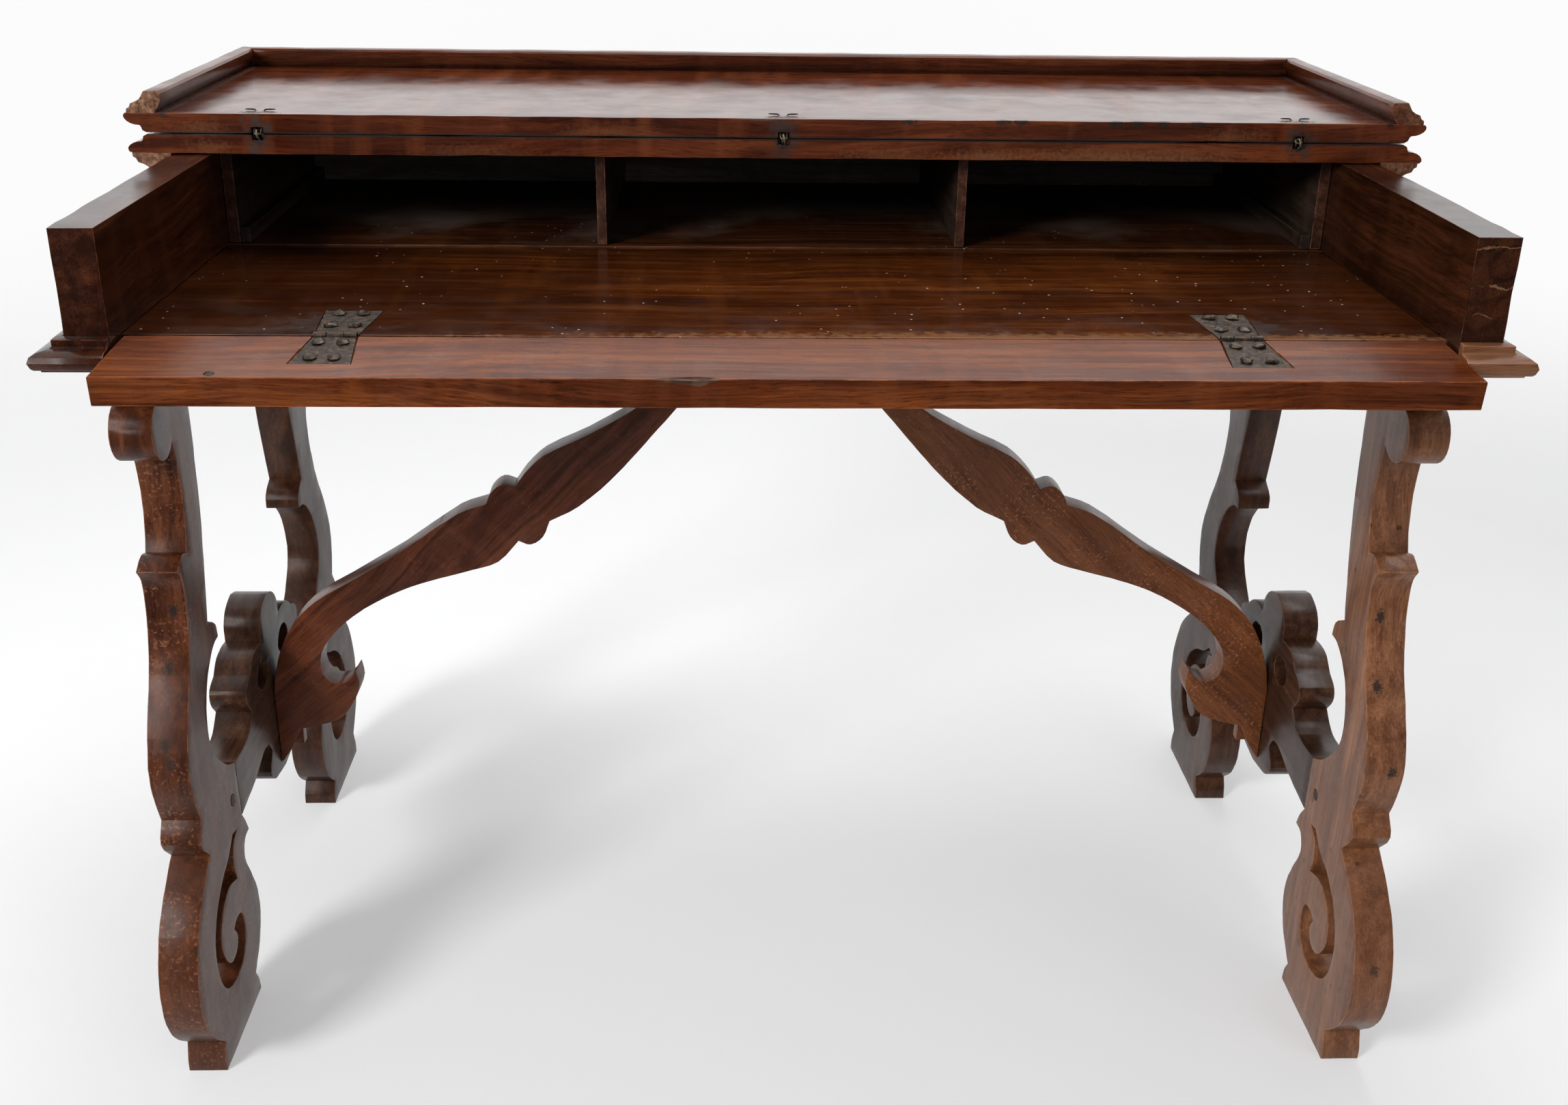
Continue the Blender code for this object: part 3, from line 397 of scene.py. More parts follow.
BACK_TONES = ((0.048, 0.035, 0.029), (0.100, 0.077, 0.064), (0.160, 0.125, 0.105))
EDGE_TONES = ((0.020, 0.007, 0.0035), (0.055, 0.020, 0.011), (0.120, 0.050, 0.029))
SPLIT_TONES = ((0.012, 0.005, 0.003), (0.060, 0.028, 0.017), (0.150, 0.080, 0.052))
TAN_TONES = ((0.090, 0.031, 0.012), (0.175, 0.068, 0.028), (0.270, 0.120, 0.055))
PEG_TONES = ((0.010, 0.005, 0.003), (0.030, 0.014, 0.008), (0.065, 0.031, 0.017))
IRON_TONES = ((0.012, 0.009, 0.007), (0.041, 0.031, 0.025), (0.085, 0.052, 0.033), (0.17, 0.090, 0.043))
NAIL_TONES = ((0.012, 0.009, 0.007), (0.040, 0.030, 0.023), (0.078, 0.054, 0.034), (0.15, 0.088, 0.042))
WIRE_TONES = ((0.09, 0.07, 0.048), (0.19, 0.155, 0.105), (0.25, 0.205, 0.14), (0.17, 0.105, 0.055))

HINGE_SIDES = ("left", "middle", "right")
CHEEK_CRACKS = (0.8535, 0.8205, 0.7965)
LEFT_LEG_DENTS = ((-0.571, 0.480), (-0.5776, 0.4276), (-0.5798, 0.3635), (-0.5755, 0.3465))
RIGHT_LEG_DENTS = ((0.570, 0.409), (0.585, 0.332), (0.571, 0.474), (0.578, 0.140))
ARRIS_SPILLS = (0.122, 0.212, 0.230, 0.323, 0.344, 0.369, 0.403)

# Rubbed places along the lid's edges: x, height, half length and strength
EDGE_RUBS = (
    (0.33, 0.867, 0.13, 0.95),
    (0.20, 0.866, 0.05, 0.7),
    (-0.30, 0.866, 0.06, 0.4),
    (-0.17, 0.8865, 0.05, 0.4),
    (0.10, 0.866, 0.06, 0.5),
    (0.44, 0.887, 0.04, 0.5),
    (-0.56, 0.887, 0.03, 0.5),
    (-0.55, 0.868, 0.03, 0.5),
)
EDGE_RUB_RADIUS = 0.009


def leg_stains(dents, floor_light):
    """Dark dents at some places of a leg's front, and painted light from the white floor that makes the
    foot paler.
    """
    stains = [{"place": (x, 0, z), "radius": 0.0055, "colour": SOOT, "stretch": (1, 0, 0.7)}
              for x, z in dents]
    # Painted light: the foot is made paler, as light from the white floor would make it
    stains.append({"place": (0, 0, FLOOR_LIGHT_HEIGHT), "radius": 0.28, "colour": PAINTED_FLOOR_LIGHT, "stretch": (0, 0, 1),
                   "strength": floor_light, "dulling": 0.0})
    return stains


def wire_hinge_places():
    """Where the wire hinges lie on the lid's axis."""
    axis = next(joint for joint in frame["record"]["behaviour"]["joints"] if joint["name"] == "lid_hinge")
    eyes = [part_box(f"lid_eye_{side}") for side in HINGE_SIDES]
    return [Vector(((low[0] + high[0]) / 2, *axis["pos_m"][1:])) for low, high in eyes]


def lid_stains():
    """Grease and soot round the wire hinges, rubbed edges, spills on the arris, painted shade along the
    joint between the leaves and painted shade with some dirt along the foot of the gallery.
    """
    low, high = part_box("lid_front")
    stains = []
    for spot in wire_hinge_places():
        stains.append({"place": spot, "radius": 0.021, "colour": GREASE, "stretch": (1.3, 2, 0.8),
                       "strength": 0.7})
        stains.append({"place": spot, "radius": 0.0085, "colour": SOOT, "stretch": (1, 0.5, 0.8)})
        stains.append({"place": (spot.x, low[1] + 0.009, 0), "radius": 0.010, "colour": SOOT,
                       "stretch": (0.45, 1.5, 0)})
    for x, z, length, strength in EDGE_RUBS:
        stains.append({"place": (x, low[1], z), "radius": EDGE_RUB_RADIUS, "colour": RUBBED, "core": 0.0,
                       "stretch": (EDGE_RUB_RADIUS / length, 1, 1), "strength": strength, "dulling": 0.5})
    for x in ARRIS_SPILLS:
        stains.append({"place": (x, low[1], high[2]), "radius": 0.0065, "colour": SPILL,
                       "stretch": (0.7, 1, 1)})
    # Painted shade: a dark line along the joint between the leaves, where the groove lies in shade
    joint = wire_hinge_places()[0]
    stains.append({"place": joint, "radius": 0.0021, "colour": SOOT, "stretch": (0, 0.7, 1), "core": 0.6,
                   "strength": 0.95})
    return stains + gallery_foot_shade_and_dirt()


def gallery_foot_shade_and_dirt():
    """Painted shade, with some dirt, in the corners along the foot of the gallery."""
    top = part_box("lid_front")[1][2]
    seams = [((0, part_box("cornice_front_cross")[0][1], top), (0, 1, 1)),
             ((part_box("cornice_front_left")[1][0], 0, top), (1, 0, 1)),
             ((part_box("cornice_front_right")[0][0], 0, top), (1, 0, 1))]
    # Painted shade and dirt: dark lines where the gallery meets the lid
    return [{"place": place, "radius": 0.005, "colour": SHADE, "stretch": stretch, "strength": 0.9}
            for place, stretch in seams]


def floor_dust():
    """A film of dust that thins out towards the writing board."""
    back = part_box("rear_floor")[1][1]
    return [{"place": (0, back, 0), "radius": 0.25, "colour": DUST_FILM, "stretch": (0, 1, 0)}]


def board_stains():
    """Darker ends, a strip of pale sapwood along the front edge and grease beside the hinge plates."""
    low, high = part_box("writing_board")
    stains = [{"place": (x, (low[1] + high[1]) / 2, 0), "radius": radius, "colour": SHADE, "dulling": 0.0,
               "stretch": (1, 0.5, 0), "strength": 0.6} for x, radius in ((low[0], 0.42), (high[0], 0.28))]
    stains.append({"place": (SAPWOOD_MIDDLE, low[1], 0), "radius": 0.018, "colour": SAPWOOD, "core": 0.5,
                   "stretch": (0.036, 1, 0), "strength": 0.6, "dulling": 0.0})
    for side, outwards in (("left", 0), ("right", 1)):
        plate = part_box(f"hinge_floor_{side}")
        centre = (plate[outwards][0], (plate[0][1] + plate[1][1]) / 2, 0)
        stains.append({"place": centre, "radius": 0.026, "colour": GREASE, "stretch": (1, 0.8, 0),
                       "strength": 0.6, "dulling": 0.2})
    return stains


WOODS = {
    "stand_wood": {"tones": STAND_TONES, "gloss": 0.30, "dirt": 0.4, "wear": 0.7, "flecks": 0.8,
                   "dents": 0.7},
    "left_leg": {"tones": STAND_TONES, "gloss": 0.29, "dirt": 0.4, "wear": 0.8, "flecks": 0.9,
                 "fineness": 280.0, "dents": 0.8, "stains": leg_stains(LEFT_LEG_DENTS, 0.10)},
    "right_leg": {"tones": PALE_STAND_TONES, "gloss": 0.31, "dirt": 0.3, "flecks": 0.2, "dents": 0.8,
                  "stains": leg_stains(RIGHT_LEG_DENTS, 0.14)},
    "shaded_back_leg": {"tones": SHADED_BACK_LEG_TONES, "gloss": 0.32, "dirt": 0.3, "flecks": 0.15},
    "ringed_stand": {"tones": RED_STAND_TONES, "gloss": 0.32, "rings": 0.9, "dirt": 0.15, "flecks": 0.2},
    "mottled_stand": {"tones": MOTTLED_STAND_TONES, "gloss": 0.34, "rings": 0.15, "dirt": 0.2,
                      "flecks": 0.9, "fineness": 300.0},
    "dark_stand": {"tones": DARK_STAND_TONES, "gloss": 0.28, "dirt": 0.5, "wear": 0.8},
    "case_wood": {"tones": CASE_TONES, "gloss": 0.19, "wear": 0.7, "dents": 0.3},
    "cracked_wood": {"tones": CRACKED_TONES, "gloss": 0.19, "dirt": 0.6, "wear": 1.0,
                     "cracks": CHEEK_CRACKS},
    "tan_wood": {"tones": TAN_TONES, "gloss": 0.38, "dirt": 0.3, "dents": 0.4},
    "cornice_wood": {"tones": CORNICE_TONES, "gloss": 0.22, "wear": 0.8, "stains": gallery_foot_shade_and_dirt()},
    "lid_wood": {"tones": LID_TONES, "gloss": 0.14, "ior": 1.65, "relief": 0.06, "curls": 0.8, "wear": 0.9,
                 "stains": lid_stains()},
    "fall_wood": {"tones": FALL_TONES, "gloss": 0.27, "ior": 1.42, "dirt": 0.15, "rings": 0.3},
    "floor_wood": {"tones": FLOOR_TONES, "gloss": 0.19, "ior": 1.5, "dirt": 0.5, "dust": 1.0,
                   "stains": board_stains()},
    "dusty_wood": {"tones": DUSTY_TONES, "gloss": 0.35, "dirt": 0.4, "dust": 0.6, "stains": floor_dust()},
    "back_wood": {"tones": BACK_TONES, "gloss": 0.5, "dirt": 0.5},
    "inner_wood": {"tones": INNER_TONES, "gloss": 0.45, "wear": 0.5},
    "split_wood": {"tones": SPLIT_TONES, "gloss": 0.75, "ior": 1.3, "curls": 0.9},
    "edge_wood": {"tones": EDGE_TONES, "gloss": 0.38, "wear": 0.9, "dents": 0.5},
    "peg_wood": {"tones": PEG_TONES, "gloss": 0.5},
}
made_woods = {}


def wood_for(slot, grain):
    """The wood of a slot with its grain along one direction, made once."""
    key = (slot, grain)
    if key not in made_woods:
        made_woods[key] = make_wood(f"{slot}_{grain}", grain, **WOODS[slot])
    return made_woods[key]


# Worn wooden pieces over the solids

def copied(node):
    """A node's faces as one closed mesh, with its flat areas whole."""
    source = frame["nodes"][node].data
    shape = bmesh.new()
    corners = [shape.verts.new(vertex.co) for vertex in source.vertices]
    for face in source.polygons:
        shape.faces.new([corners[i] for i in face.vertices])
    bmesh.ops.remove_doubles(shape, verts=shape.verts, dist=WELD)
    bmesh.ops.dissolve_limit(shape, angle_limit=FLAT_ANGLE, verts=shape.verts, edges=shape.edges)
    shape.normal_update()
    return shape


def round_off(shape, chosen, rim, segments, profile):
    """Round off the chosen ones of the sharp outer edges, and mark their new faces."""
    mark = shape.faces.layers.float[EDGE]
    sharp = [edge for edge in shape.edges
             if edge.is_manifold and edge.is_convex and edge.calc_face_angle() > RIM_ANGLE and chosen(edge)]
    rounded = bmesh.ops.bevel(shape, geom=sharp, offset=rim, offset_type="OFFSET", segments=segments,
                              profile=profile, affect="EDGES", clamp_overlap=True)
    for face in rounded["faces"]:
        face[mark] = 1.0


def round_edges(shape, rim, least):
    """Round off the outer edges that are longer than the least length."""
    shape.faces.layers.float.new(EDGE)
    round_off(shape, lambda edge: edge.calc_length() > least, rim, segments=2, profile=0.55)


def split(shape, faces, point, normal):
    """Cut some faces along a plane."""
    parts = list(faces)
    parts += dict.fromkeys(edge for face in faces for edge in face.edges)
    parts += dict.fromkeys(vertex for face in faces for vertex in face.verts)
    bmesh.ops.bisect_plane(shape, geom=parts, plane_co=point, plane_no=normal)


def cut_into_cells(shape, cell):
    """Cut the faces along planes that lie a cell apart, along each axis."""
    low = [min(vertex.co[axis] for vertex in shape.verts) for axis in range(3)]
    high = [max(vertex.co[axis] for vertex in shape.verts) for axis in range(3)]
    for axis in range(3):
        direction = Vector([float(i == axis) for i in range(3)])
        count = int((high[axis] - low[axis]) / cell)
        for i in range(1, count):
            point = direction * (low[axis] + (high[axis] - low[axis]) * i / count)
            split(shape, shape.faces, point, direction)


def wear_down(shape, face_wear, edge_wear, size):
    """Press the surface in by smooth noise, more along the rounded edges."""
    mark = shape.faces.layers.float[EDGE]
    shape.normal_update()
    moves = []
    for vertex in shape.verts:
        dent = max(0.0, 0.5 + 0.5 * noise.noise(vertex.co / size))
        rub = max(0.0, noise.noise(vertex.co / (RUB_FINENESS * size) + RUB_SHIFT))
        on_edge = any(face[mark] > 0 for face in vertex.link_faces)
        moves.append((face_wear * dent + (edge_wear * rub if on_edge else 0)) * vertex.normal)
    for vertex, move in zip(shape.verts, moves):
        vertex.co -= move


def strip(shape, bare):
    """Mark the faces whose finish is gone, as bare says for each."""
    mark = shape.faces.layers.float.new(BARE)
    if bare:
        for face in shape.faces:
            face[mark] = bare(face)


def piece_from(shape, name, material, body, slot, *nodes):
    """A finished piece that rides on a body and stands for some nodes."""
    mesh = bpy.data.meshes.new(name)
    shape.to_mesh(mesh)
    shape.free()
    mesh.materials.append(material)
    mesh.shade_smooth()
    mesh.set_sharp_from_angle(angle=SMOOTH_ANGLE)
    piece = bpy.data.objects.new(name, mesh)
    bpy.context.scene.collection.objects.link(piece)
    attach(piece, body)
    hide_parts(*nodes)
    return piece


def seat(shape, side):
    """Sink the lowest (side -1) or highest (side 1) edges into the piece that they lie on."""
    level = max(side * vertex.co.z for vertex in shape.verts)
    for vertex in shape.verts:
        if level - side * vertex.co.z < SEAT_BAND:
            vertex.co.z += side * SEAT_DEPTH


def chip(shape, centre, reach, depth):
    """Split a splinter off a front edge along x, by two flat cuts that meet where it is deepest.

    The split faces get the piece's second material.
    """
    inwards = SPLIT_INWARDS
    deepest = centre.x + SPLIT_LEAN * reach
    cuts = []
    for tip in (centre.x - reach, centre.x + reach):
        normal = (inwards * (deepest - tip) - Vector((depth, 0, 0))) * math.copysign(1, deepest - tip)
        cuts.append((*sorted((tip, deepest)), Vector((tip, centre.y, centre.z)), normal.normalized()))
    for x in (deepest, centre.x - reach, centre.x + reach):
        split(shape, shape.faces, Vector((x, 0, 0)), Vector((1, 0, 0)))

    def outside(vertex, cut):
        first, last, point, normal = cut
        return first - WELD < vertex.co.x < last + WELD and (vertex.co - point).dot(normal) < WELD

    for cut in cuts:
        near = [face for face in shape.faces if cut[0] < face.calc_center_median().x < cut[1]]
        split(shape, near, *cut[2:])
    for cut in cuts:
        for face in shape.faces:
            if all(outside(vertex, cut) for vertex in face.verts):
                face.material_index = 1
    for cut in cuts:
        point, normal = cut[2:]
        for vertex in shape.verts:
            if outside(vertex, cut):
                vertex.co -= inwards * (vertex.co - point).dot(normal) / inwards.dot(normal)


def widen_notch(shape, centre, reach, rim):
    """Round off the rim of a notch near a centre, as rubbing metal wears it."""
    def near(edge):
        return all((vertex.co - centre).length < reach for vertex in edge.verts)

    round_off(shape, near, rim, segments=3, profile=0.5)


def repaint(piece, finish, grain, chosen):
    """Give the chosen faces of a piece a finish of their own."""
    piece.data.materials.append(wood_for(finish, grain))
    for face in piece.data.polygons:
        if chosen(face):
            face.material_index = 1


def faces_front(face):
    return face.normal.y < FRONT_FACING


def bare_front(rawness):
    """Says for each face how far its finish is gone: some way on the front, not at all elsewhere."""
    return lambda face: rawness if faces_front(face) else 0.0


def dress(node, grain, rim, least=0.002, cell=0.03, face_wear=0.0004, edge_wear=0.0008, size=0.05,
          bare=None, finish=None, side=0, chips=(), notches=(), flat=True):
    """A worn wooden piece over a node, with edges rounded by rim where they are longer than least.

    Its faces are cut into cells and worn in dents of about one size; side is where it is seated.
    """
    shape = copied(node)
    round_edges(shape, rim, least)
    for notch in notches:
        widen_notch(shape, *notch)
    cut_into_cells(shape, cell)
    wear_down(shape, face_wear, edge_wear, size)
    if side:
        seat(shape, side)
    strip(shape, bare)
    for broken in chips:
        chip(shape, *broken)
    material = wood_for(finish or SLOT_OF[node], grain)
    piece = piece_from(shape, f"worn_{node}", material, BODY_OF[node], SLOT_OF[node], node)
    if chips:
        piece.data.materials.append(wood_for("split_wood", grain))
    if flat:
        flats = piece.modifiers.new("flats", "WEIGHTED_NORMAL")
        flats.keep_sharp = True
    return piece


def dress_stand():
    looks = {"left": ("rising", "ringed_stand"), "right": ("falling", "mottled_stand")}
    for side, (slope, finish) in looks.items():
        sawn = {"rim": SAWN_RIM, "cell": 0.016, "flat": False}
        dress(f"leg_front_{side}", "z", finish=f"{side}_leg", **sawn)
        # Painted shade: the back legs' finish is darker than the front legs'
        dress(f"leg_back_{side}", "z", finish="shaded_back_leg", **sawn)
        dress(f"cross_piece_{side}", "y", finish="dark_stand", **sawn)
        dress(f"stretcher_{side}", slope, finish=finish, **sawn)
        for end in ("front", "back"):
            dress(f"peg_{end}_{side}", "x", PEG_RIM, cell=0.02, face_wear=0.0002)
        dress(f"rail_{side}", "y", RAIL_RIM)
    dress("batten", "y", RAIL_RIM)


def dress_case():
    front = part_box("cheek_left")[0][1]

    def before_cheek(face):
        return face.center.y < front

    for side, finish in (("left", None), ("right", "cracked_wood")):
        dress(f"cheek_{side}", "y", CHEEK_RIM, least=0.02, cell=0.02, edge_wear=0.0016, finish=finish)
        moulding = dress(f"base_moulding_{side}", "y", MOULDING_RIM, flat=False)
        if side == "right":
            repaint(moulding, "tan_wood", "x", before_cheek)
        for fitting in ("liner", "divider"):
            repaint(dress(f"{fitting}_{side}", "y", FITTING_RIM), "edge_wood", "y", faces_front)
        dress(f"guide_{side}", "y", FITTING_RIM)
    dress("writing_board", "x", BOARD_RIM, least=0.06)
    dress("rear_floor", "x", BOARD_RIM, finish="dusty_wood")
    back = dress("back_panel", "x", BOARD_RIM, finish="case_wood")
    repaint(back, "back_wood", "x", faces_front)
    dress("base_moulding_back", "x", MOULDING_RIM, flat=False)


def dress_fall():
    low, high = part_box("fall")
    edge_height = high[2] - (high[1] - low[1]) * math.sin(FALL_DROOP)
    middle, reach, depth = SPLINTER
    splinter = (Vector((middle, low[1], edge_height)), reach, depth)
    dress("fall", "x", FALL_RIM, least=0.06, chips=(splinter,))


def dress_lid():
    low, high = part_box("lid_front")
    middle, reach, depth = SLIVER
    sliver = (Vector((middle, low[1], high[2])), reach, depth)
    notches = [(spot, NOTCH_REACH, NOTCH_RIM) for spot in wire_hinge_places()]
    moulded = {"rim": MOULDING_RIM, "finish": "cornice_wood", "flat": False}
    for leaf, side, broken in (("rear", 1, ()), ("front", -1, (sliver,))):
        dress(f"lid_{leaf}", "x", LEAF_RIM, least=0.05, edge_wear=0.0016, chips=broken, notches=notches)
        for end, rawness in (("left", 1.0), ("right", 0.45)):
            dress(f"cornice_{leaf}_{end}", "y", bare=bare_front(rawness), side=side, **moulded)
    dress("cornice_rear_back", "x", side=1, **moulded)
    dress("cornice_front_cross", "x", side=-1, **moulded)


# Ironwork

def dress_plate(node, metal):
    """A forged plate over a hinge node, with hammered faces."""
    shape = copied(node)
    round_edges(shape, rim=PLATE_RIM, least=0.004)
    cut_into_cells(shape, cell=0.004)
    wear_down(shape, face_wear=0.0006, edge_wear=0.0007, size=0.006)
    piece_from(shape, f"forged_{node}", metal, BODY_OF[node], "iron", node)


def nail_head(shape, foot, up, radius, height):
    """A hammered rose head on a foot point, with uneven facets."""
    side = up.cross(Vector((0, 1, 0))).normalized()
    ahead = side.cross(up)
    rings = []
    for share, rise in NAIL_PROFILE:
        ring = []
        for i in range(NAIL_FACETS):
            turn = 2 * math.pi * i / NAIL_FACETS
            out = side * math.cos(turn) + ahead * math.sin(turn)
            seed = foot * NAIL_VARIETY + out * FACET_VARIETY + up * rise
            uneven = 1 + NAIL_UNEVENNESS * noise.noise(seed)
            ring.append(shape.verts.new(foot + radius * share * uneven * out + height * rise * uneven * up))
        rings.append(ring)
    for low, high in zip(rings, rings[1:]):
        for i in range(NAIL_FACETS):
            shape.faces.new((low[i - 1], low[i], high[i], high[i - 1]))
    shape.faces.new(rings[-1])
    shape.faces.new(list(reversed(rings[0])))


def dress_nails(leaf, side, up, metal):
    """The four nails of a hinge plate: the two of the solids and their twins across the plate."""
    low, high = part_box(f"hinge_{leaf}_{side}")
    middle = (low[0] + high[0]) / 2
    nodes = [f"nail_{leaf}_{side}_{i}" for i in (1, 2)]
    shape = bmesh.new()
    for node in nodes:
        corner, opposite = (Vector(point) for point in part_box(node))
        centre = (corner + opposite) / 2
        length = (opposite.z - corner.z) / 2
        foot = centre + up * (length - NAIL_HEAD_HEIGHT)
        for x in (foot.x, 2 * middle - foot.x):
            place = Vector((x, foot.y, foot.z))
            nail_head(shape, place, up, NAIL_HEAD_RADIUS, NAIL_BULGE * NAIL_HEAD_HEIGHT)
    piece_from(shape, f"rose_nails_{leaf}_{side}", metal, BODY_OF[nodes[0]], "iron", *nodes)


def dress_wire(node, metal):
    """A rounder wire over a wire node."""
    shape = copied(node)
    piece = piece_from(shape, f"wire_{node}", metal, BODY_OF[node], "iron", node)
    rounder = piece.modifiers.new("rounder", "SUBSURF")
    rounder.levels = 2
    rounder.render_levels = 2


def dress_ironwork():
    metal = make_iron("forged_iron", IRON_TONES, (0.34, 0.60), 0.6)
    rubbed_metal = make_iron("rubbed_iron", NAIL_TONES, (0.20, 0.40), 0.7)
    clean = (wire_hinge_places()[0], WIRE_CLEAN_REACH)
    wire = make_iron("worn_wire", WIRE_TONES, (0.20, 0.38), 0.5, clean)
    fall_up = Vector((0, -math.sin(FALL_DROOP), math.cos(FALL_DROOP)))
    for side in ("left", "right"):
        for leaf, up in (("floor", Vector((0, 0, 1))), ("fall", fall_up)):
            dress_plate(f"hinge_{leaf}_{side}", metal)
            dress_nails(leaf, side, up, rubbed_metal)
        dress_wire(f"hinge_pin_{side}", metal)
    for side in HINGE_SIDES:
        dress_wire(f"lid_eye_{side}", wire)
        dress_wire(f"lid_staple_{side}", wire)
    shape = bmesh.new()
    low, high = (Vector(point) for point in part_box("fall_stud"))
    top = (low + high) / 2 + fall_up * (high.z - low.z) / 2
    nail_head(shape, top - fall_up * STUD_SINK, fall_up, (high.x - low.x) / 2, STUD_HEIGHT)
    piece_from(shape, "domed_stud", metal, "fall", "iron", "fall_stud")


# Studio

BACKDROP_LEVEL = 0.97
WORLD_LIGHT = 0.36
WHITE = (1, 1, 1, 1)
PAPER = (0.84, 0.84, 0.85, 1)
PAPER_MARKS = (0.6, 0.6, 0.6, 1)
KEY_PLACE = (-2.6, -2.7, 2.5)
KEY_AIM = (0, -0.1, 0.5)
FILL_PLACE = (2.6, -2.6, 1.7)
TOP_PLACE = (0.2, 0.6, 3.2)
TOP_SHEEN_PLACE = (0.4, 0.2, 3.4)
DESK_MIDDLE = (0, 0, 0.5)
DESK_TOP = (0, 0, 0.8)

# From where to where something changes, and its levels there: the paper's whiteness by how far it is
# from the desk, its glow in mirrors by its depth before and behind the desk, and the world's glow in
# mirrors by direction
WHITENING = (1.8, 3.4, 0.36, 1.0)
FRONT_GLOW = (-1.0, -0.4, 0.02, 0.52)
BACK_GLOW = (1.0, 3.0, 0.0, 0.52)
WORLD_GLOW = (-0.4, 0.3, 0.06, 0.92)


def make_camera():
    pitch, yaw, roll = CAMERA_PITCH, CAMERA_YAW, CAMERA_ROLL
    ahead = Vector((math.sin(yaw) * math.cos(pitch), math.cos(yaw) * math.cos(pitch), -math.sin(pitch)))
    level = Vector((math.cos(yaw), -math.sin(yaw), 0))
    below = ahead.cross(level)
    right = math.cos(roll) * level + math.sin(roll) * below
    down = math.cos(roll) * below - math.sin(roll) * level
    data = bpy.data.cameras.new("camera")
    data.sensor_width = SENSOR_WIDTH
    data.sensor_fit = "HORIZONTAL"
    data.lens = FOCAL_LENGTH_PX / IMAGE_WIDTH * SENSOR_WIDTH
    camera = bpy.data.objects.new("camera", data)
    turn = Matrix((right, -down, -ahead)).transposed().to_4x4()
    camera.matrix_world = Matrix.Translation(CAMERA_PLACE) @ turn
    bpy.context.scene.collection.objects.link(camera)
    bpy.context.scene.camera = camera


def sweep_material():
    """Pale paper that keeps the shadows and turns white away from the desk; in mirrors dim before it."""
    graph = Graph("studio_paper")
    tree = graph.tree
    tree.nodes.remove(graph.shader)
    paths = tree.nodes.new("ShaderNodeLightPath")
    spot = graph.place()
    depth = graph.part(spot, "Y")
    away = graph.away(spot, (0, 0, 0), (1, 1, 0))
    marks = graph.noise(spot, 14.0, 5.0, 0.7)
    tint = graph.mix(graph.span(marks, 0.3, 0.8, 0.0, 0.05), PAPER, PAPER_MARKS)
    paper = graph.add("BsdfDiffuse", {"Color": tint})
    white = graph.add("Emission", {"Color": WHITE, "Strength": BACKDROP_LEVEL})
    share = graph.times(paths.outputs["Is Camera Ray"], graph.span(away, *WHITENING))
    seen = graph.add("MixShader", {0: share, 1: paper, 2: white})
    glow = graph.plus(graph.span(depth, *FRONT_GLOW), graph.span(depth, *BACK_GLOW))
    room = graph.add("Emission", {"Color": WHITE, "Strength": glow})
    mirrored = graph.calc("MAXIMUM", paths.outputs["Is Glossy Ray"], paths.outputs["Is Transmission Ray"])
    mixed = graph.add("MixShader", {0: mirrored, 1: seen, 2: room})
    graph.feed(tree.nodes["Material Output"].inputs["Surface"], mixed)
    return graph.material


def make_sweep(half=5.0, front=-4.0, bend=2.2, radius=1.2, top=5.0, steps=16):
    """A paper sweep: a floor that curves up into a wall behind the desk."""
    shape = bmesh.new()
    section = [(front, 0.0)]
    for i in range(steps + 1):
        turn = math.pi / 2 * i / steps
        section.append((bend + radius * math.sin(turn), radius * (1 - math.cos(turn))))
    section.append((bend + radius, top))
    rows = [[shape.verts.new((x, y, z)) for y, z in section] for x in (-half, half)]
    for i in range(len(section) - 1):
        shape.faces.new((rows[0][i], rows[1][i], rows[1][i + 1], rows[0][i + 1]))
    mesh = bpy.data.meshes.new("sweep")
    shape.to_mesh(mesh)
    shape.free()
    mesh.shade_smooth()
    mesh.materials.append(sweep_material())
    sweep = bpy.data.objects.new("sweep", mesh)
    bpy.context.scene.collection.objects.link(sweep)


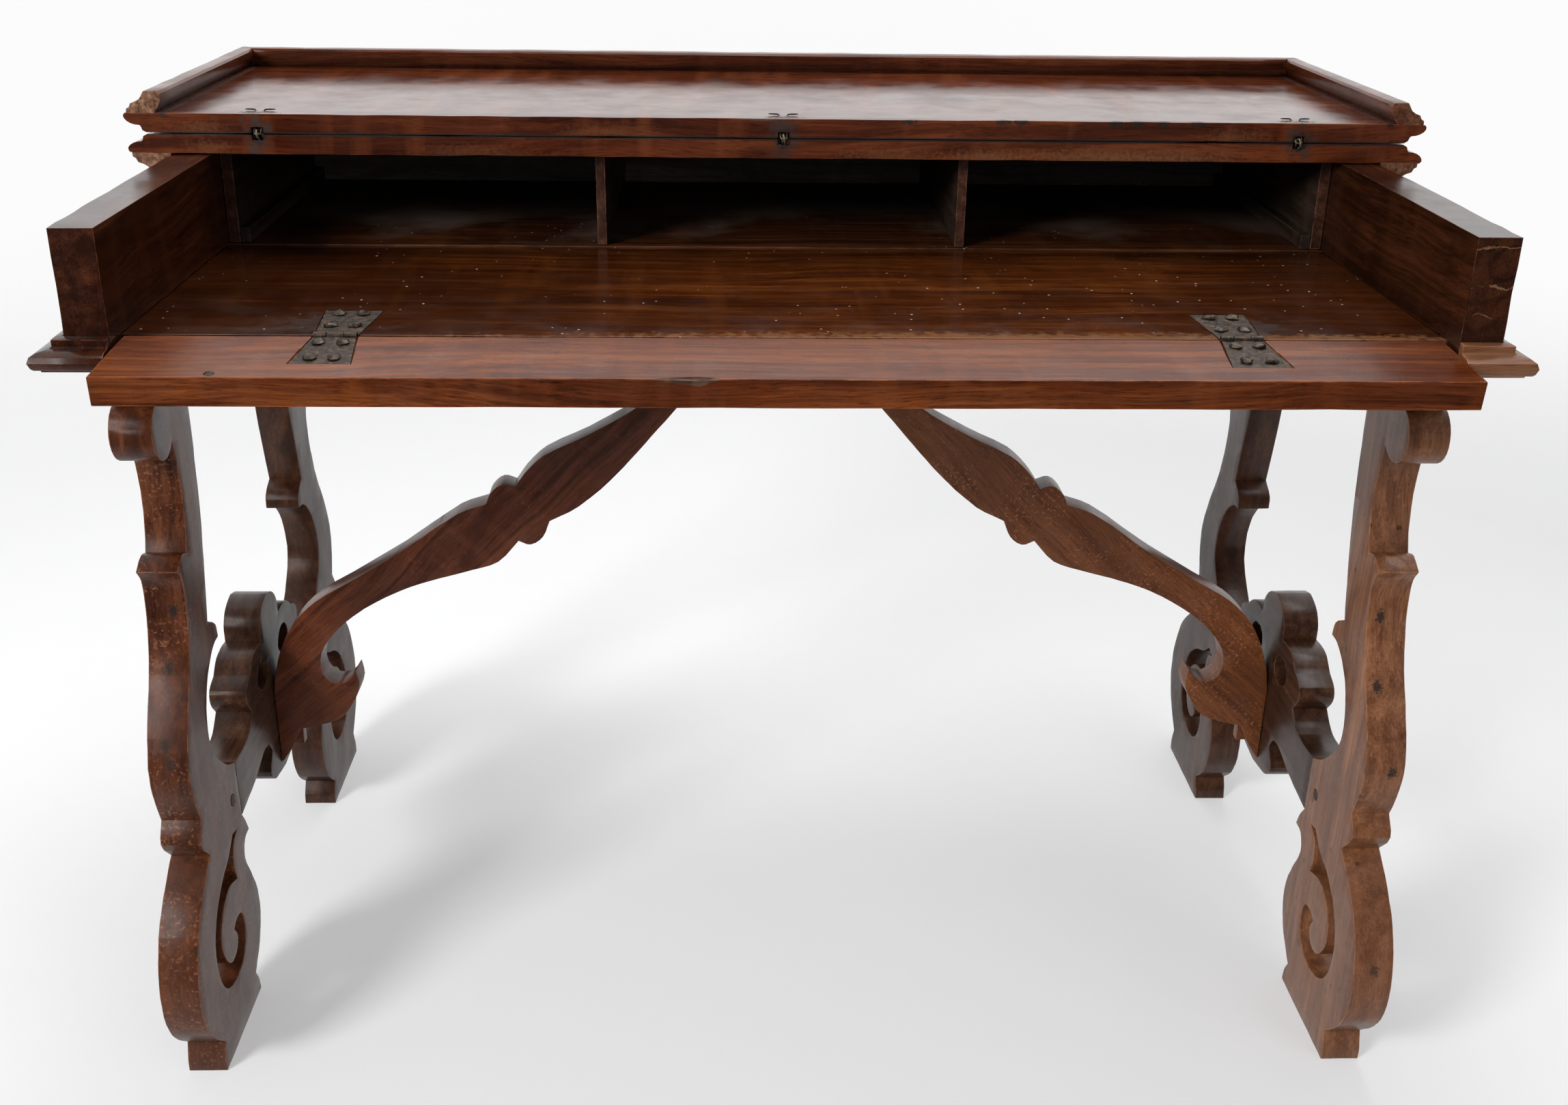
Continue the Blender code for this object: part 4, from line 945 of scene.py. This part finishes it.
def softbox(name, place, aim, size, power, mirrored=False):
    """A square lamp that either lights the desk or, where it is mirrored, only shows in the polish."""
    data = bpy.data.lights.new(name, "AREA")
    data.size = size
    data.energy = power
    lamp = bpy.data.objects.new(name, data)
    lamp.location = place
    lamp.visible_glossy = mirrored
    lamp.visible_diffuse = not mirrored
    lamp.rotation_euler = (Vector(aim) - Vector(place)).to_track_quat("-Z", "Y").to_euler()
    bpy.context.scene.collection.objects.link(lamp)


def make_world():
    """White to the eye; in mirrors white behind the desk and dim before it; softer as a light."""
    world = bpy.data.worlds.new("studio")
    bpy.context.scene.world = world
    world.use_nodes = True
    tree = world.node_tree

    def blend(share, first, second):
        node = tree.nodes.new("ShaderNodeMix")
        for socket, value in zip(node.inputs[:4], (share, None, first, second)):
            if isinstance(value, bpy.types.NodeSocket):
                tree.links.new(value, socket)
            elif value is not None:
                socket.default_value = value
        return node.outputs[0]

    paths = tree.nodes.new("ShaderNodeLightPath")
    direction = tree.nodes.new("ShaderNodeSeparateXYZ")
    tree.links.new(tree.nodes.new("ShaderNodeTexCoord").outputs["Generated"], direction.inputs["Vector"])
    mirrored = tree.nodes.new("ShaderNodeMapRange")
    tree.links.new(direction.outputs["Y"], mirrored.inputs["Value"])
    for name, value in zip(("From Min", "From Max", "To Min", "To Max"), WORLD_GLOW):
        mirrored.inputs[name].default_value = value
    light = blend(paths.outputs["Is Diffuse Ray"], mirrored.outputs[0], WORLD_LIGHT)
    strength = blend(paths.outputs["Is Camera Ray"], light, BACKDROP_LEVEL)
    tree.links.new(strength, tree.nodes["Background"].inputs["Strength"])
    tree.nodes["Background"].inputs["Color"].default_value = WHITE


def make_studio():
    make_camera()
    make_sweep()
    make_world()
    softbox("key", KEY_PLACE, KEY_AIM, size=1.1, power=140)
    softbox("fill", FILL_PLACE, DESK_MIDDLE, size=1.8, power=16)
    softbox("top", TOP_PLACE, DESK_TOP, size=1.6, power=60)
    softbox("key_sheen", KEY_PLACE, KEY_AIM, size=2.0, power=75, mirrored=True)
    softbox("top_sheen", TOP_SHEEN_PLACE, DESK_TOP, size=2.4, power=60, mirrored=True)
    bpy.context.scene.view_settings.view_transform = "Standard"


dress_stand()
dress_case()
dress_fall()
dress_lid()
dress_ironwork()
make_studio()
